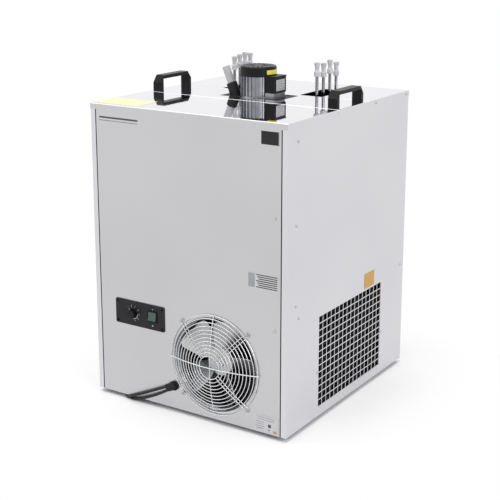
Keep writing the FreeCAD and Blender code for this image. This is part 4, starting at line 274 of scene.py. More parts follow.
# worked metals, in metres: "grain" is the width of a line of grain and "run" how many widths long it is,
# "wave" the size of a slow wave in the sheet and "dent" its depth; roughness varies by "spread"
metals = {
    "satinStainless": {"light": "#CDCDCF", "dark": "#C3C3C6", "roughness": 0.33, "spread": 0.02,
                       "grain": 0.0016, "run": 90, "wave": 0.3, "dent": 0.0006},
    # the sides' copy is the same sheet painted lighter: painted light for the stronger light falling on the two sides
    "sideStainlessPaintedLight": {"light": "#DCDCDF", "dark": "#D2D2D6", "roughness": 0.33, "spread": 0.02,
                      "grain": 0.0016, "run": 90, "wave": 0.3, "dent": 0.0006},
    "mirrorStainless": {"light": "#EAEAEE", "dark": "#DFDFE4", "roughness": 0.035, "spread": 0.025,
                        "grain": 0.0012, "run": 70, "wave": 0.22, "dent": 0.00004},
    "drawnStainless": {"light": "#A2A2A6", "dark": "#7E7F84", "roughness": 0.18, "spread": 0.08,
                       "grain": 0.0007, "run": 60, "wave": 0.05, "dent": 0.00004},
    "brightWire": {"light": "#E6E6E8", "dark": "#D2D2D5", "roughness": 0.2, "spread": 0.08,
                   "grain": 0.004, "run": 1, "wave": 0.012, "dent": 0.00003},
    "zincPlate": {"light": "#D2D3D4", "dark": "#AEB0B2", "roughness": 0.28, "spread": 0.14,
                  "grain": 0.0015, "run": 1, "wave": 0.006, "dent": 0.00003},
    "labelFoil": {"light": "#D2D2D4", "dark": "#C6C6C9", "roughness": 0.42, "spread": 0.06,
                  "grain": 0.003, "run": 1, "wave": 0.03, "dent": 0.00002},
    "rolledAluminium": {"light": "#D3D3D5", "dark": "#BFC0C3", "roughness": 0.4, "spread": 0.1,
                        "grain": 0.0009, "run": 1, "wave": 0.04, "dent": 0.0001},
    # the fins' dark grey is painted shade for the dim space behind the side grille
    "finAluminiumPaintedShade": {"light": "#6E7074", "dark": "#4E5054", "roughness": 0.5, "spread": 0.1,
                     "grain": 0.002, "run": 1, "wave": 0.03, "dent": 0.0001},
    "drawnCopper": {"light": "#A4664A", "dark": "#6E3F2C", "roughness": 0.38, "spread": 0.16,
                    "grain": 0.003, "run": 1, "wave": 0.04, "dent": 0.00005},
}


# one recipe for them all: grain along Z in the roughness, a slow change of tone, and the sheet's own waves
def makeMetal(name):
    given = metals[name]
    material, tree, shader, place = startMaterial(name)
    fine = 1 / given["grain"]
    along = addNode(tree, "ShaderNodeMapping", {"Vector": place, "Scale": (fine, fine, fine / given["run"])})
    grain = addNode(tree, "ShaderNodeTexNoise", {"Vector": along.outputs[0], "Scale": 1.0, "Detail": 3.0})
    slow = addNode(tree, "ShaderNodeTexNoise", {"Vector": place, "Scale": 1 / given["wave"], "Detail": 2.0,
                                                "Roughness": 0.4})
    tone = addNode(tree, "ShaderNodeMix", {"Factor": slow.outputs[0], "A": colourOf(given["dark"]),
                                           "B": colourOf(given["light"])}, data_type="RGBA")
    rough = addNode(tree, "ShaderNodeMapRange", {
        "Value": grain.outputs[0], **noiseSpan,
        "To Min": given["roughness"] - given["spread"] / 2, "To Max": given["roughness"] + given["spread"] / 2})
    bump = addNode(tree, "ShaderNodeBump", {"Height": slow.outputs[0], "Distance": given["dent"], "Strength": 1.0})
    shader.inputs["Metallic"].default_value = 1.0
    tree.links.new(tone.outputs["Result"], shader.inputs["Base Color"])
    tree.links.new(rough.outputs[0], shader.inputs["Roughness"])
    tree.links.new(bump.outputs[0], shader.inputs["Normal"])
    return material


satinStainless = makeMetal("satinStainless")  # 2B rolled 304 sheet: soft grey, reflections smeared, slightly wavy
sideStainlessPaintedLight = makeMetal("sideStainlessPaintedLight")  # the same sheet on the two sides, painted a shade lighter: painted light standing in for the stronger light on the sides
mirrorStainless = makeMetal("mirrorStainless")  # polished 304 sheet: clear reflections of what stands on it
drawnStainless = makeMetal("drawnStainless")  # bright drawn 8 mm beer tube: lengthwise streaks
brightWire = makeMetal("brightWire")  # chromed steel wire: small sharp glints
zincPlate = makeMetal("zincPlate")  # zinc plated screws and brackets: bright grey, slightly mottled
rolledAluminium = makeMetal("rolledAluminium")  # pressed aluminium blades: pale, soft gloss
labelFoil = makeMetal("labelFoil")  # metallised polyester label: flat silver, near the tone of the steel
finAluminiumPaintedShade = makeMetal("finAluminiumPaintedShade")  # condenser fins, dull dark grey: painted shade for the dim space behind the side grille
drawnCopper = makeMetal("drawnCopper")  # annealed copper tube, tarnished brown in patches
print("metals mixed")


# hot-dip galvanised sheet: flat crystals about 14 mm across, each with its own grey
galvanised = {"light": "#B9BDC0", "dark": "#8F9599", "spangle": 0.014, "roughness": 0.42, "spread": 0.2}


def makeGalvanised():
    material, tree, shader, place = startMaterial("galvanisedSheet")
    crystal = addNode(tree, "ShaderNodeTexVoronoi", {"Vector": place, "Scale": 1 / galvanised["spangle"]})
    split = addNode(tree, "ShaderNodeSeparateColor", {"Color": crystal.outputs["Color"]})
    tone = addNode(tree, "ShaderNodeMix", {"Factor": split.outputs[0], "A": colourOf(galvanised["dark"]),
                                           "B": colourOf(galvanised["light"])}, data_type="RGBA")
    rough = addNode(tree, "ShaderNodeMapRange", {
        "Value": split.outputs[1], "To Min": galvanised["roughness"] - galvanised["spread"] / 2,
        "To Max": galvanised["roughness"] + galvanised["spread"] / 2})
    shader.inputs["Metallic"].default_value = 1.0
    tree.links.new(tone.outputs["Result"], shader.inputs["Base Color"])
    tree.links.new(rough.outputs[0], shader.inputs["Roughness"])
    return material


galvanisedSheet = makeGalvanised()


# die-cast motor housing: dull grey with a sandy skin of about half a millimetre
casting = {"light": "#A2A3A7", "dark": "#7D7F83", "roughness": 0.36, "sand": 0.0006, "skin": 0.00006,
           "stains": 60.0, "metallic": 0.85}


def makeCasting():
    material, tree, shader, place = startMaterial("dieCastAluminium")
    sand = addNode(tree, "ShaderNodeTexNoise", {"Vector": place, "Scale": 1 / casting["sand"], "Detail": 2.0})
    stain = addNode(tree, "ShaderNodeTexNoise", {"Vector": place, "Scale": casting["stains"], "Detail": 3.0})
    tone = addNode(tree, "ShaderNodeMix", {"Factor": stain.outputs[0], "A": colourOf(casting["dark"]),
                                           "B": colourOf(casting["light"])}, data_type="RGBA")
    bump = addNode(tree, "ShaderNodeBump", {"Height": sand.outputs[0], "Distance": casting["skin"], "Strength": 0.7})
    shader.inputs["Metallic"].default_value = casting["metallic"]
    shader.inputs["Roughness"].default_value = casting["roughness"]
    tree.links.new(tone.outputs["Result"], shader.inputs["Base Color"])
    tree.links.new(bump.outputs[0], shader.inputs["Normal"])
    return material


dieCastAluminium = makeCasting()


# paints, plastics and rubbers: a base tone, a paler worn tone, the grain of the skin and its depth, in metres
# "gloss" is the specular level: black mouldings and rubbers here shine less than clear resin would
coatings = {
    "blackEnamel": {"base": "#0F0F11", "worn": "#18181B", "roughness": 0.3, "grain": 0.0025, "depth": 0.00004,
                    "gloss": 0.16, "coat": 0.0},
    "plateEnamel": {"base": "#1F1E21", "worn": "#262529", "roughness": 0.5, "grain": 0.0006, "depth": 0.00003,
                    "gloss": 0.2, "coat": 0.0},
    "blackNylon": {"base": "#0E0E10", "worn": "#18181B", "roughness": 0.34, "grain": 0.0007, "depth": 0.00004,
                   "gloss": 0.15, "coat": 0.0},
    "knobPhenolic": {"base": "#0B0B0C", "worn": "#151517", "roughness": 0.3, "grain": 0.0008, "depth": 0.00001,
                     "gloss": 0.25, "coat": 0.0},
    "greyAcetal": {"base": "#D8D8DA", "worn": "#9C9DA0", "roughness": 0.34, "grain": 0.0016, "depth": 0.00002,
                   "gloss": 0.45, "coat": 0.1},
    "pipePlastic": {"base": "#BEBEC0", "worn": "#A6A7AA", "roughness": 0.36, "grain": 0.004, "depth": 0.00003,
                    "gloss": 0.4, "coat": 0.0},
    "tankPlastic": {"base": "#8D9094", "worn": "#7A7D82", "roughness": 0.5, "grain": 0.003, "depth": 0.00003,
                    "gloss": 0.4, "coat": 0.0},
    "blackRubber": {"base": "#141415", "worn": "#202022", "roughness": 0.6, "grain": 0.0011, "depth": 0.00008,
                    "gloss": 0.25, "coat": 0.0},
    "leadSheath": {"base": "#101011", "worn": "#1A1A1C", "roughness": 0.4, "grain": 0.0012, "depth": 0.00002,
                   "gloss": 0.3, "coat": 0.0},
    "urethaneFoam": {"base": "#D9CBA0", "worn": "#C2AE7C", "roughness": 0.9, "grain": 0.0022, "depth": 0.0005,
                     "gloss": 0.3, "coat": 0.0},
    "bladeNylon": {"base": "#1A1A1C", "worn": "#252528", "roughness": 0.5, "grain": 0.001, "depth": 0.00003,
                   "gloss": 0.3, "coat": 0.0},
    "paleFilm": {"base": "#F6E6AE", "worn": "#F4DC9A", "roughness": 0.32, "grain": 0.03, "depth": 0.00002,
                 "gloss": 0.5, "coat": 0.2},
    "amberFilm": {"base": "#C0922E", "worn": "#B28224", "roughness": 0.38, "grain": 0.03, "depth": 0.00002,
                  "gloss": 0.5, "coat": 0.2},
    "lemonFilm": {"base": "#E9E04A", "worn": "#D8CC34", "roughness": 0.4, "grain": 0.01, "depth": 0.00002,
                  "gloss": 0.5, "coat": 0.2},
    "badgeFilm": {"base": "#111113", "worn": "#1A1A1D", "roughness": 0.3, "grain": 0.02, "depth": 0.00001,
                  "gloss": 0.3, "coat": 0.1},
    "greyInk": {"base": "#8B8C90", "worn": "#A2A3A6", "roughness": 0.5, "grain": 0.004, "depth": 0.00001,
                "gloss": 0.3, "coat": 0.0},
    "darkInk": {"base": "#3A3A3D", "worn": "#56565A", "roughness": 0.5, "grain": 0.004, "depth": 0.00001,
                "gloss": 0.3, "coat": 0.0},
    "whiteInk": {"base": "#E2E2E0", "worn": "#C8C8C6", "roughness": 0.5, "grain": 0.002, "depth": 0.00001,
                 "gloss": 0.4, "coat": 0.0},
}


# how they all wear: patches this much of the grain's frequency, shinier or duller by so much, under a thin clear coat
wearing = {"patches": 0.12, "shinier": 0.04, "duller": 0.06, "relief": 0.8, "coatRoughness": 0.12}


def makeCoating(name):
    given = coatings[name]
    material, tree, shader, place = startMaterial(name)
    skin = addNode(tree, "ShaderNodeTexNoise", {"Vector": place, "Scale": 1 / given["grain"], "Detail": 2.0})
    wear = addNode(tree, "ShaderNodeTexNoise", {"Vector": place, "Scale": wearing["patches"] / given["grain"],
                                                "Detail": 4.0})
    tone = addNode(tree, "ShaderNodeMix", {"Factor": wear.outputs[0], "A": colourOf(given["base"]),
                                           "B": colourOf(given["worn"])}, data_type="RGBA")
    rough = addNode(tree, "ShaderNodeMapRange", {
        "Value": wear.outputs[0], **noiseSpan,
        "To Min": given["roughness"] - wearing["shinier"], "To Max": given["roughness"] + wearing["duller"]})
    bump = addNode(tree, "ShaderNodeBump", {"Height": skin.outputs[0], "Distance": given["depth"],
                                            "Strength": wearing["relief"]})
    shader.inputs["Specular IOR Level"].default_value = given["gloss"]
    shader.inputs["Coat Weight"].default_value = given["coat"]
    shader.inputs["Coat Roughness"].default_value = wearing["coatRoughness"]
    tree.links.new(tone.outputs["Result"], shader.inputs["Base Color"])
    tree.links.new(rough.outputs[0], shader.inputs["Roughness"])
    tree.links.new(bump.outputs[0], shader.inputs["Normal"])
    return material


blackEnamel = makeCoating("blackEnamel")  # stoved gloss paint on the compressor and motor cover: orange peel
plateEnamel = makeCoating("plateEnamel")  # textured black paint on the control plate: dull charcoal
blackNylon = makeCoating("blackNylon")  # moulded glass-filled nylon: fine spark texture, grey highlights
knobPhenolic = makeCoating("knobPhenolic")  # pressed black knob: smooth, with a low shine
greyAcetal = makeCoating("greyAcetal")  # moulded push-in fittings: pale grey, slightly glossy
pipePlastic = makeCoating("pipePlastic")  # extruded grey outlet pipe
tankPlastic = makeCoating("tankPlastic")  # moulded bath liner and clips
blackRubber = makeCoating("blackRubber")  # moulded feet, gland and sleeve: matt
leadSheath = makeCoating("leadSheath")  # extruded PVC sheath: satin
urethaneFoam = makeCoating("urethaneFoam")  # foamed-in-place polyurethane: open cream cells about 2 mm
bladeNylon = makeCoating("bladeNylon")  # the motor's own small fan
paleFilm = makeCoating("paleFilm")  # bare pale yellow film on the lid
amberFilm = makeCoating("amberFilm")  # bare orange-yellow sticker
lemonFilm = makeCoating("lemonFilm")  # bare yellow sticker on the motor
badgeFilm = makeCoating("badgeFilm")  # bare black badge
greyInk = makeCoating("greyInk")  # printed ruled lines of a blank label
darkInk = makeCoating("darkInk")  # heavier print: plain bars
whiteInk = makeCoating("whiteInk")  # screen-printed dial marks
print("paints and plastics mixed")


# lit rocker: clear green polycarbonate with a weak lamp inside
rockerLens = {"colour": "#2C463C", "glow": "#3E6655", "strength": 0.08, "ribs": 0.0016, "depth": 0.00015,
              "roughness": 0.22, "coat": 0.4}


def makeRockerLens():
    material, tree, shader, place = startMaterial("greenLens")
    ribs = addNode(tree, "ShaderNodeTexVoronoi", {"Vector": place, "Scale": 1 / rockerLens["ribs"]})
    bump = addNode(tree, "ShaderNodeBump", {"Height": ribs.outputs["Distance"], "Distance": rockerLens["depth"],
                                            "Strength": 0.6})
    shader.inputs["Base Color"].default_value = colourOf(rockerLens["colour"])
    shader.inputs["Emission Color"].default_value = colourOf(rockerLens["glow"])
    shader.inputs["Emission Strength"].default_value = rockerLens["strength"]
    shader.inputs["Roughness"].default_value = rockerLens["roughness"]
    shader.inputs["Coat Weight"].default_value = rockerLens["coat"]
    tree.links.new(bump.outputs[0], shader.inputs["Normal"])
    return material


greenLens = makeRockerLens()


# the same zinc for all screws, but those in the control plate are blackened: where they are picks the colour
blackScrews = {"middle": (-0.1415, -0.306, 0.234), "half": (0.078, 0.0035, 0.034), "colour": "#161618"}


def makeScrewZinc():
    material = makeMetal("zincPlate")
    material.name = "screwZinc"
    tree = material.node_tree
    shader = next(node for node in tree.nodes if node.type == "BSDF_PRINCIPLED")
    place = next(node for node in tree.nodes if node.type == "TEX_COORD").outputs["Object"]
    away = addNode(tree, "ShaderNodeVectorMath", {0: place, 1: blackScrews["middle"]}, operation="SUBTRACT")
    away = addNode(tree, "ShaderNodeVectorMath", {0: away.outputs[0], 1: blackScrews["half"]}, operation="DIVIDE")
    away = addNode(tree, "ShaderNodeVectorMath", {0: away.outputs[0]}, operation="ABSOLUTE")
    parts = addNode(tree, "ShaderNodeSeparateXYZ", {0: away.outputs[0]})
    furthest = addNode(tree, "ShaderNodeMath", {0: parts.outputs[0], 1: parts.outputs[1]}, operation="MAXIMUM")
    furthest = addNode(tree, "ShaderNodeMath", {0: furthest.outputs[0], 1: parts.outputs[2]}, operation="MAXIMUM")
    inside = addNode(tree, "ShaderNodeMath", {0: furthest.outputs[0], 1: 1.0}, operation="LESS_THAN")
    bright = shader.inputs["Base Color"].links[0].from_socket
    tone = addNode(tree, "ShaderNodeMix", {"Factor": inside.outputs[0], "A": bright,
                                           "B": colourOf(blackScrews["colour"])}, data_type="RGBA")
    tree.links.new(tone.outputs["Result"], shader.inputs["Base Color"])
    return material


screwZinc = makeScrewZinc()  # zinc plated screws, the control plate's four oxide blackened

# which finish each part of the cooler has
finishes = [
    (satinStainless, "front_panel back_panel tank_deck"),
    # the two sides take the painted lighter copy of the satin sheet: painted light
    (sideStainlessPaintedLight, "left_side_panel right_side_panel"),
    (mirrorStainless, "front_lid top_bridge rear_cover side_grille"),
    (drawnStainless, "beer_lines pump_shaft pump_column water_tank"),
    (brightWire, "fan_guard"),
    (screwZinc, "cabinet_fasteners"),
    (zincPlate, "fan_guard_bolts pump_bolts fan_motor_bracket fan_shaft shaft_bearings"),
    (rolledAluminium, "fan_impeller"),
    # the fins' dark grey is painted shade for the space behind the side grille
    (finAluminiumPaintedShade, "condenser_fins"),
    (drawnCopper, "evaporator_coil condenser_tube refrigerant_lines"),
    (galvanisedSheet, "base_tray fan_shroud"),
    (dieCastAluminium, "pump_motor motor_block"),
    (blackEnamel, "compressor fan_motor motor_fan_cover"),
    # the pump plate is black paint, and its black also stands in for the dark of the lid's opening round the pump:
    # painted shade
    (plateEnamel, "control_plate pump_plate"),
    (blackNylon, "handles terminal_box terminal_box_lid switch_housing thermostat"),
    (knobPhenolic, "thermostat_knob"),
    (greyAcetal, "line_fittings"),
    (pipePlastic, "outlet_pipe"),
    (tankPlastic, "coil_rails pump_volute pump_impeller"),
    (blackRubber, "feet panel_seals compressor_grommets cable_gland outlet_sleeve"),
    (leadSheath, "near_plug far_plug"),
    (urethaneFoam, "tank_insulation"),
    (bladeNylon, "motor_fan"),
    (greenLens, "switch_rocker"),
]
for finish, names in finishes:
    for name in names.split():
        for slot in nodes[name].material_slots:
            slot.material = finish
for lead in (nearLead, farLead):
    lead.data.materials.append(leadSheath)
print("finishes given to", sum(len(names.split()) for _, names in finishes), "parts")

# points closer together than this are one
weldGap = 0.000005

# the lid sheets again with their outer folds rounded, as a press brake leaves them; metres and degrees
# an edge is on a side of the sheet's box within "reach"; a face steeper than "lipSlope" is part of a lip
folds = {"radius": 0.0022, "segments": 4, "reach": 0.0002, "lipSlope": 0.75, "flatUnder": 0.5, "smoothUnder": 32}


# a joined-up copy of a sheet, with the edges round its top face and down its corners bevelled
# the top face is polished, the folded lips have the satin of the panels below them, and the lips on the two sides take
# its painted lighter copy, painted light as on the side panels
def roundFolds(name, newName, body):
    copy = nodes[name].copy()
    copy.data = nodes[name].data.copy()
    copy.name = newName
    bpy.context.scene.collection.objects.link(copy)
    copy.select_set(True)
    bpy.context.view_layer.objects.active = copy
    bpy.ops.object.mode_set(mode="EDIT")
    bpy.ops.mesh.select_all(action="SELECT")
    bpy.ops.mesh.remove_doubles(threshold=weldGap)
    bpy.ops.mesh.dissolve_limited(angle_limit=math.radians(folds["flatUnder"]))
    bpy.ops.mesh.select_mode(type="EDGE")
    bpy.ops.mesh.select_all(action="DESELECT")
    bpy.ops.object.mode_set(mode="OBJECT")
    places = [vertex.co for vertex in copy.data.vertices]
    low = [min(place[axis] for place in places) for axis in range(3)]
    high = [max(place[axis] for place in places) for axis in range(3)]
    for edge in copy.data.edges:
        ends = [places[index] for index in edge.vertices]
        at = [sum(all(abs(end[axis] - side[axis]) < folds["reach"] for end in ends) for side in (low, high))
              for axis in range(3)]
        edge.select = sum(at[:2]) + (all(abs(end[2] - high[2]) < folds["reach"] for end in ends)) > 1
    bpy.ops.object.mode_set(mode="EDIT")
    bpy.ops.mesh.bevel(offset=folds["radius"], segments=folds["segments"], affect="EDGES")
    bpy.ops.object.mode_set(mode="OBJECT")
    bpy.ops.object.shade_smooth_by_angle(angle=math.radians(folds["smoothUnder"]))
    flat = copy.modifiers.new("flat", "WEIGHTED_NORMAL")
    flat.keep_sharp = True
    bpy.ops.object.modifier_apply(modifier=flat.name)
    first = len(copy.data.materials)
    copy.data.materials.append(satinStainless)
    copy.data.materials.append(sideStainlessPaintedLight)
    for face in copy.data.polygons:
        if abs(face.normal.z) < folds["lipSlope"]:
            # lips facing sideways get the painted lighter copy of the satin: painted light
            face.material_index = first + (abs(face.normal.x) > abs(face.normal.y))
    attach(copy, body)
    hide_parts(name)
    bpy.ops.object.select_all(action="DESELECT")


roundFolds("front_lid", "frontLidSheet", "lid")
roundFolds("top_bridge", "bridgeSheet", "cabinet")
roundFolds("rear_cover", "rearCoverSheet", "cabinet")
print("lid folds rounded")


# how a piece made lying at the origin is turned to face out of the cooler
turns = {
    "front": Matrix.Rotation(math.radians(90), 4, "X"),
    "right": Matrix.Rotation(math.radians(90), 4, "Z") @ Matrix.Rotation(math.radians(90), 4, "X"),
    "up": Matrix.Identity(4),
}


# how a sheet's front edge is eased, in parts of its thickness, and how round its corners are
sheetEdge = {"in": 0.6, "up": 0.15, "cornerSteps": 3}


# a thin sheet with rounded corners, lying at the origin: a plane, corners cut, thickened, its front edge eased
def cutSheet(name, size, corner, thick, film):
    bpy.ops.mesh.primitive_plane_add(size=1)
    sheet = bpy.context.object
    sheet.name = name
    bpy.ops.transform.resize(value=(*size, 1))
    bpy.ops.object.transform_apply(location=True, rotation=True, scale=True)
    bpy.ops.object.mode_set(mode="EDIT")
    bpy.ops.mesh.select_all(action="SELECT")
    bpy.ops.mesh.bevel(offset=corner, segments=sheetEdge["cornerSteps"], affect="VERTICES")
    bpy.ops.mesh.select_all(action="SELECT")
    bpy.ops.mesh.extrude_region_move(TRANSFORM_OT_translate={"value": (0, 0, thick)})
    bpy.ops.mesh.inset(thickness=thick * sheetEdge["in"], depth=thick * sheetEdge["up"])
    bpy.ops.mesh.select_all(action="SELECT")
    bpy.ops.mesh.normals_make_consistent(inside=False)
    bpy.ops.object.mode_set(mode="OBJECT")
    sheet.data.materials.append(film)
    return sheet


# several pieces become one, whose name is that of the first
def joinAll(pieces):
    bpy.ops.object.select_all(action="DESELECT")
    for piece in pieces:
        piece.select_set(True)
    bpy.context.view_layer.objects.active = pieces[0]
    if len(pieces) > 1:
        bpy.ops.object.join()
    return bpy.context.object


# lays a finished piece on the cooler
def putOn(piece, at, faces, body):
    piece.data.transform(Matrix.Translation(at) @ turns[faces])
    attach(piece, body)
    bpy.ops.object.select_all(action="DESELECT")


# stickers and bare plates: middle of the back face, size, corner radius, film thickness, which way it faces
# "print" is what is on it: plain bars, each its middle and size on the plate, and its ink; no plate has words
plates = {
    "frontBadge": {"at": (0.2343, -0.3022, 0.715), "size": (0.0474, 0.032), "corner": 0.0015, "faces": "front",
                   "film": labelFoil, "thick": 0.0006, "body": "cabinet",
                   "print": [((0, 0), (0.0456, 0.0302), badgeFilm)]},
    "ruledLabel": {"at": (0.2175, -0.3022, 0.382), "size": (0.083, 0.037), "corner": 0.001, "faces": "front",
                   "film": labelFoil, "thick": 0.0003, "body": "cabinet",
                   "print": [((-0.0315, 0), (0.018, 0.034), greyInk)]
                   + [((0.0095 + 0.0015 * (line % 3), 0.0148 - 0.0049 * line), (0.057 - 0.003 * (line % 3), 0.0026),
                       darkInk) for line in range(7)]},
    "cornerSticker": {"at": (0.225, -0.3022, 0.0345), "size": (0.070, 0.041), "corner": 0.001, "faces": "front",
                      "film": labelFoil, "thick": 0.0003, "body": "cabinet",
                      "print": [((0.011, -0.003), (0.008, 0.008), darkInk),
                                ((0.010, -0.0135), (0.004, 0.003), darkInk),
                                ((0.026, -0.0155), (0.009, 0.006), amberFilm)]
                      + [((0.001, 0.0155 - 0.0055 * line), (0.052 - 0.005 * line, 0.0018), greyInk)
                         for line in range(2)]
                      + [((-0.015, 0.0035 - 0.0055 * line), (0.024 - 0.004 * (line % 2), 0.0018), greyInk)
                         for line in range(4)]},
    "sideSticker": {"at": (0.2802, 0.1045, 0.2895), "size": (0.053, 0.039), "corner": 0.001, "faces": "right",
                    "film": amberFilm, "thick": 0.0003, "body": "cabinet", "print": []},
    "lidSticker": {"at": (-0.212, -0.252, 0.7511), "size": (0.134, 0.084), "corner": 0.002, "faces": "up",
                   "film": paleFilm, "thick": 0.0002, "body": "lid", "print": []},
    "boxLabel": {"at": (0.0702, 0.0075, 0.783), "size": (0.040, 0.028), "corner": 0.001, "faces": "right",
                 "film": labelFoil, "thick": 0.0003, "body": "cabinet",
                 "print": [((0.001 * (line % 2), 0.009 - 0.006 * line), (0.032 - 0.004 * (line % 3), 0.002), greyInk)
                           for line in range(4)]},
}
inkHeight = 0.00005

for name, plate in plates.items():
    pieces = [cutSheet(name, plate["size"], plate["corner"], plate["thick"], plate["film"])]
    for middle, size, ink in plate["print"]:
        bar = cutSheet(name + "Print", size, inkHeight * 4, inkHeight, ink)
        bar.data.transform(Matrix.Translation((*middle, plate["thick"] * (1 + sheetEdge["up"]))))
        pieces.append(bar)
    putOn(joinAll(pieces), plate["at"], plate["faces"], plate["body"])
print("plates and stickers placed")


# printed straight on the steel, top left of the front: two plain bars where a name would be
nameBars = {"at": (-0.195, -0.3021, 0.718), "length": 0.118, "heights": (0.0042, 0.0012), "corners": (0.0006, 0.0003),
            "gap": 0.0075}
bars = [cutSheet("frontBars", (nameBars["length"], height), corner, inkHeight, darkInk)
        for height, corner in zip(nameBars["heights"], nameBars["corners"])]
bars[1].data.transform(Matrix.Translation((0, -nameBars["gap"], 0)))
putOn(joinAll(bars), nameBars["at"], "front", "cabinet")


# a strip swept round an axis from one short straight edge, then given a thickness
def sweepStrip(name, start, end, centre, axis, angle, steps, thick, film):
    bpy.ops.mesh.primitive_plane_add(size=1)
    strip = bpy.context.object
    strip.name = name
    for vertex in strip.data.vertices:
        vertex.select = vertex.index > 1
    for edge in strip.data.edges:
        edge.select = False
    for face in strip.data.polygons:
        face.select = False
    strip.data.vertices[0].co = start
    strip.data.vertices[1].co = end
    bpy.ops.object.mode_set(mode="EDIT")
    bpy.ops.mesh.select_mode(type="VERT")
    bpy.ops.mesh.delete(type="VERT")
    bpy.ops.mesh.select_all(action="SELECT")
    bpy.ops.mesh.spin(steps=steps, angle=math.radians(angle), center=centre, axis=axis)
    bpy.ops.mesh.select_all(action="SELECT")
    bpy.ops.mesh.remove_doubles(threshold=weldGap)
    bpy.ops.mesh.normals_make_consistent(inside=False)
    bpy.ops.object.mode_set(mode="OBJECT")
    wall = strip.modifiers.new("wall", "SOLIDIFY")
    wall.thickness = thick
    wall.offset = 0
    bpy.ops.object.modifier_apply(modifier=wall.name)
    strip.data.materials.append(film)
    return strip


# dial round the thermostat knob: a white arc from its upper left clockwise, ticks and plain numbers
dial = {"middle": (-0.1625, -0.3041, 0.234), "inner": 0.0136, "outer": 0.0148, "from": 141, "sweep": 213,
        "steps": 40, "ticks": 7, "tickSize": (0.0022, 0.0005), "numberOut": 0.0195, "numberSize": 0.00476}


def makeDial():
    turn = math.radians(dial["from"])
    way = Vector((math.cos(turn), 0, math.sin(turn)))
    middle = Vector(dial["middle"])
    tickLength, tickWidth = dial["tickSize"]
    arc = sweepStrip("dialArc", middle + way * dial["inner"], middle + way * dial["outer"], middle, (0, 1, 0),
                     dial["sweep"], dial["steps"], inkHeight * 2, whiteInk)
    marks = []
    for count in range(dial["ticks"]):
        turn = math.radians(dial["from"] - dial["sweep"] * count / (dial["ticks"] - 1))
        tick = cutSheet("dialTick", dial["tickSize"], tickWidth / 4, inkHeight, whiteInk)
        tick.data.transform(Matrix.Rotation(turn, 4, "Z")
                            @ Matrix.Translation((dial["outer"] + tickLength / 2, 0, 0)))
        bpy.ops.object.text_add()
        number = bpy.context.object
        number.data.body = str(count + 1)
        number.data.size = dial["numberSize"]
        number.data.align_x = "CENTER"
        number.data.align_y = "CENTER"
        number.data.extrude = inkHeight / 2
        bpy.ops.object.convert(target="MESH")
        number.data.materials.append(whiteInk)
        number.data.transform(Matrix.Translation((
            dial["numberOut"] * math.cos(turn), dial["numberOut"] * math.sin(turn), inkHeight / 2)))
        marks += [tick, number]
    printed = joinAll(marks)
    printed.name = "dialMarks"
    putOn(printed, dial["middle"], "front", "cabinet")
    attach(arc, "cabinet")
    bpy.ops.object.select_all(action="DESELECT")


makeDial()

# on and off marks over and under the rocker: a bar and a ring
switchMarks = {"barAt": (-0.102, -0.3041, 0.2545), "barSize": (0.0009, 0.004), "barCorner": 0.0002,
               "ringAt": (-0.102, -0.3041, 0.2125), "ringInner": 0.0013, "ringOuter": 0.0021, "ringSteps": 24}
bar = cutSheet("onMark", switchMarks["barSize"], switchMarks["barCorner"], inkHeight, whiteInk)
putOn(bar, switchMarks["barAt"], "front", "cabinet")
ringMiddle = Vector(switchMarks["ringAt"])
ring = sweepStrip("offMark", ringMiddle + Vector((switchMarks["ringInner"], 0, 0)),
                  ringMiddle + Vector((switchMarks["ringOuter"], 0, 0)), ringMiddle, (0, 1, 0), 360,
                  switchMarks["ringSteps"], inkHeight * 2, whiteInk)
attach(ring, "cabinet")
bpy.ops.object.select_all(action="DESELECT")

# bare yellow label bent round the motor's fan cover, on its right front
motorLabel = {"middle": (0.005, 0.008, 0), "radius": 0.0462, "low": 0.8085, "high": 0.8195, "from": 112, "sweep": 52,
              "steps": 16, "thick": 0.0003}
turn = math.radians(motorLabel["from"])
foot = Vector(motorLabel["middle"]) + Vector((math.sin(turn), -math.cos(turn), 0)) * motorLabel["radius"]
label = sweepStrip("motorLabel", foot + Vector((0, 0, motorLabel["low"])), foot + Vector((0, 0, motorLabel["high"])),
                   motorLabel["middle"], (0, 0, 1), motorLabel["sweep"], motorLabel["steps"], motorLabel["thick"],
                   lemonFilm)
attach(label, "cabinet")
bpy.ops.object.select_all(action="DESELECT")
print("dial, switch marks and motor label placed")


# pressed aluminium fan: five twisted blades, wider at the tip, on a pressed hub; metres and degrees
# "turn" is where the first blade stands, counted from the right as seen from the front
fan = {"across": 0.08, "up": 0.150, "blades": 5, "turn": 2, "root": 0.030, "tip": 0.106, "chord": 0.070,
       "corner": 0.017, "cornerSteps": 6, "cuts": 9, "taper": 0.62, "pitch": 41, "twist": -12, "camber": 16,
       "wall": 0.0014, "hub": 0.036, "hubSides": 64, "hubDepth": 0.014, "hubEase": 0.004, "easeSteps": 4, "boss": 0.013,
       "bossStep": 0.001625, "smoothUnder": 35}


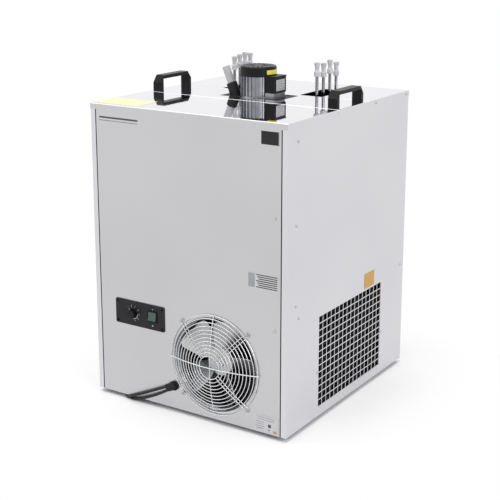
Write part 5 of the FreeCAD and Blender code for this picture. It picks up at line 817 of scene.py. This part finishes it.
# one blade lying along X: a flat plate cut into a grid, so that it can be tapered, twisted and cambered
def makeBlade():
    length = fan["tip"] - fan["root"]
    bpy.ops.mesh.primitive_plane_add(size=1)
    blade = bpy.context.object
    blade.name = "fanBlades"
    bpy.ops.transform.resize(value=(length, fan["chord"], 1))
    bpy.ops.object.transform_apply(location=True, rotation=True, scale=True)
    bpy.ops.object.mode_set(mode="EDIT")
    bpy.ops.mesh.select_all(action="SELECT")
    bpy.ops.mesh.bevel(offset=fan["corner"], segments=fan["cornerSteps"], affect="VERTICES")
    for cut in range(1, fan["cuts"]):
        share = cut / fan["cuts"] - 0.5
        for normal in (Vector((1, 0, 0)), Vector((0, 1, 0))):
            bpy.ops.mesh.select_all(action="SELECT")
            bpy.ops.mesh.bisect(plane_co=normal * share * (length if normal.x else fan["chord"]), plane_no=normal)
    bpy.ops.object.mode_set(mode="OBJECT")
    for method, setting, amount in (("TAPER", "factor", fan["taper"]), ("TWIST", "angle", math.radians(fan["twist"])),
                                    ("BEND", "angle", math.radians(fan["camber"]))):
        shape = blade.modifiers.new(method, "SIMPLE_DEFORM")
        shape.deform_method = method
        shape.deform_axis = "X"
        setattr(shape, setting, amount)
        bpy.ops.object.modifier_apply(modifier=shape.name)
    wall = blade.modifiers.new("wall", "SOLIDIFY")
    wall.thickness = fan["wall"]
    wall.offset = 0
    bpy.ops.object.modifier_apply(modifier=wall.name)
    blade.data.transform(Matrix.Translation(((fan["tip"] + fan["root"]) / 2, 0, 0))
                         @ Matrix.Rotation(math.radians(fan["pitch"]), 4, "X"))
    blade.data.materials.append(rolledAluminium)
    return blade


# a flat disc with a rounded rim, sunk round a raised boss
def makeHub():
    bpy.ops.mesh.primitive_cylinder_add(vertices=fan["hubSides"], radius=fan["hub"], depth=fan["hubDepth"])
    hub = bpy.context.object
    bpy.ops.object.mode_set(mode="EDIT")
    bpy.ops.mesh.select_all(action="SELECT")
    bpy.ops.mesh.bevel(offset=fan["hubEase"], segments=fan["easeSteps"], affect="EDGES")
    bpy.ops.mesh.select_all(action="DESELECT")
    bpy.ops.object.mode_set(mode="OBJECT")
    top = max(face.center.z for face in hub.data.polygons)
    for face in hub.data.polygons:
        face.select = face.center.z > top - weldGap
    bpy.ops.object.mode_set(mode="EDIT")
    bpy.ops.mesh.inset(thickness=fan["hub"] - fan["hubEase"] - fan["boss"], depth=-fan["hubEase"] / 2)
    bpy.ops.mesh.inset(thickness=fan["bossStep"], depth=fan["hubEase"])
    bpy.ops.object.mode_set(mode="OBJECT")
    hub.data.materials.append(rolledAluminium)
    return hub


def makeFan():
    low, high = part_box("fan_impeller")
    depth = (low[1] + high[1]) / 2
    blades = [makeBlade()]
    for count in range(1, fan["blades"]):
        blade = blades[0].copy()
        blade.data = blades[0].data.copy()
        bpy.context.scene.collection.objects.link(blade)
        blades.append(blade)
    for count, blade in enumerate(blades):
        blade.data.transform(Matrix.Rotation(math.radians(fan["turn"] + 360 * count / fan["blades"]), 4, "Z"))
    wheel = joinAll(blades + [makeHub()])
    wheel.name = "pressedFan"
    bpy.ops.object.shade_smooth_by_angle(angle=math.radians(fan["smoothUnder"]))
    wheel.data.transform(Matrix.Translation((fan["across"], depth, fan["up"])) @ turns["front"])
    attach(wheel, "fan_rotor")
    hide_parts("fan_impeller")
    bpy.ops.object.select_all(action="DESELECT")


makeFan()
print("fan made")
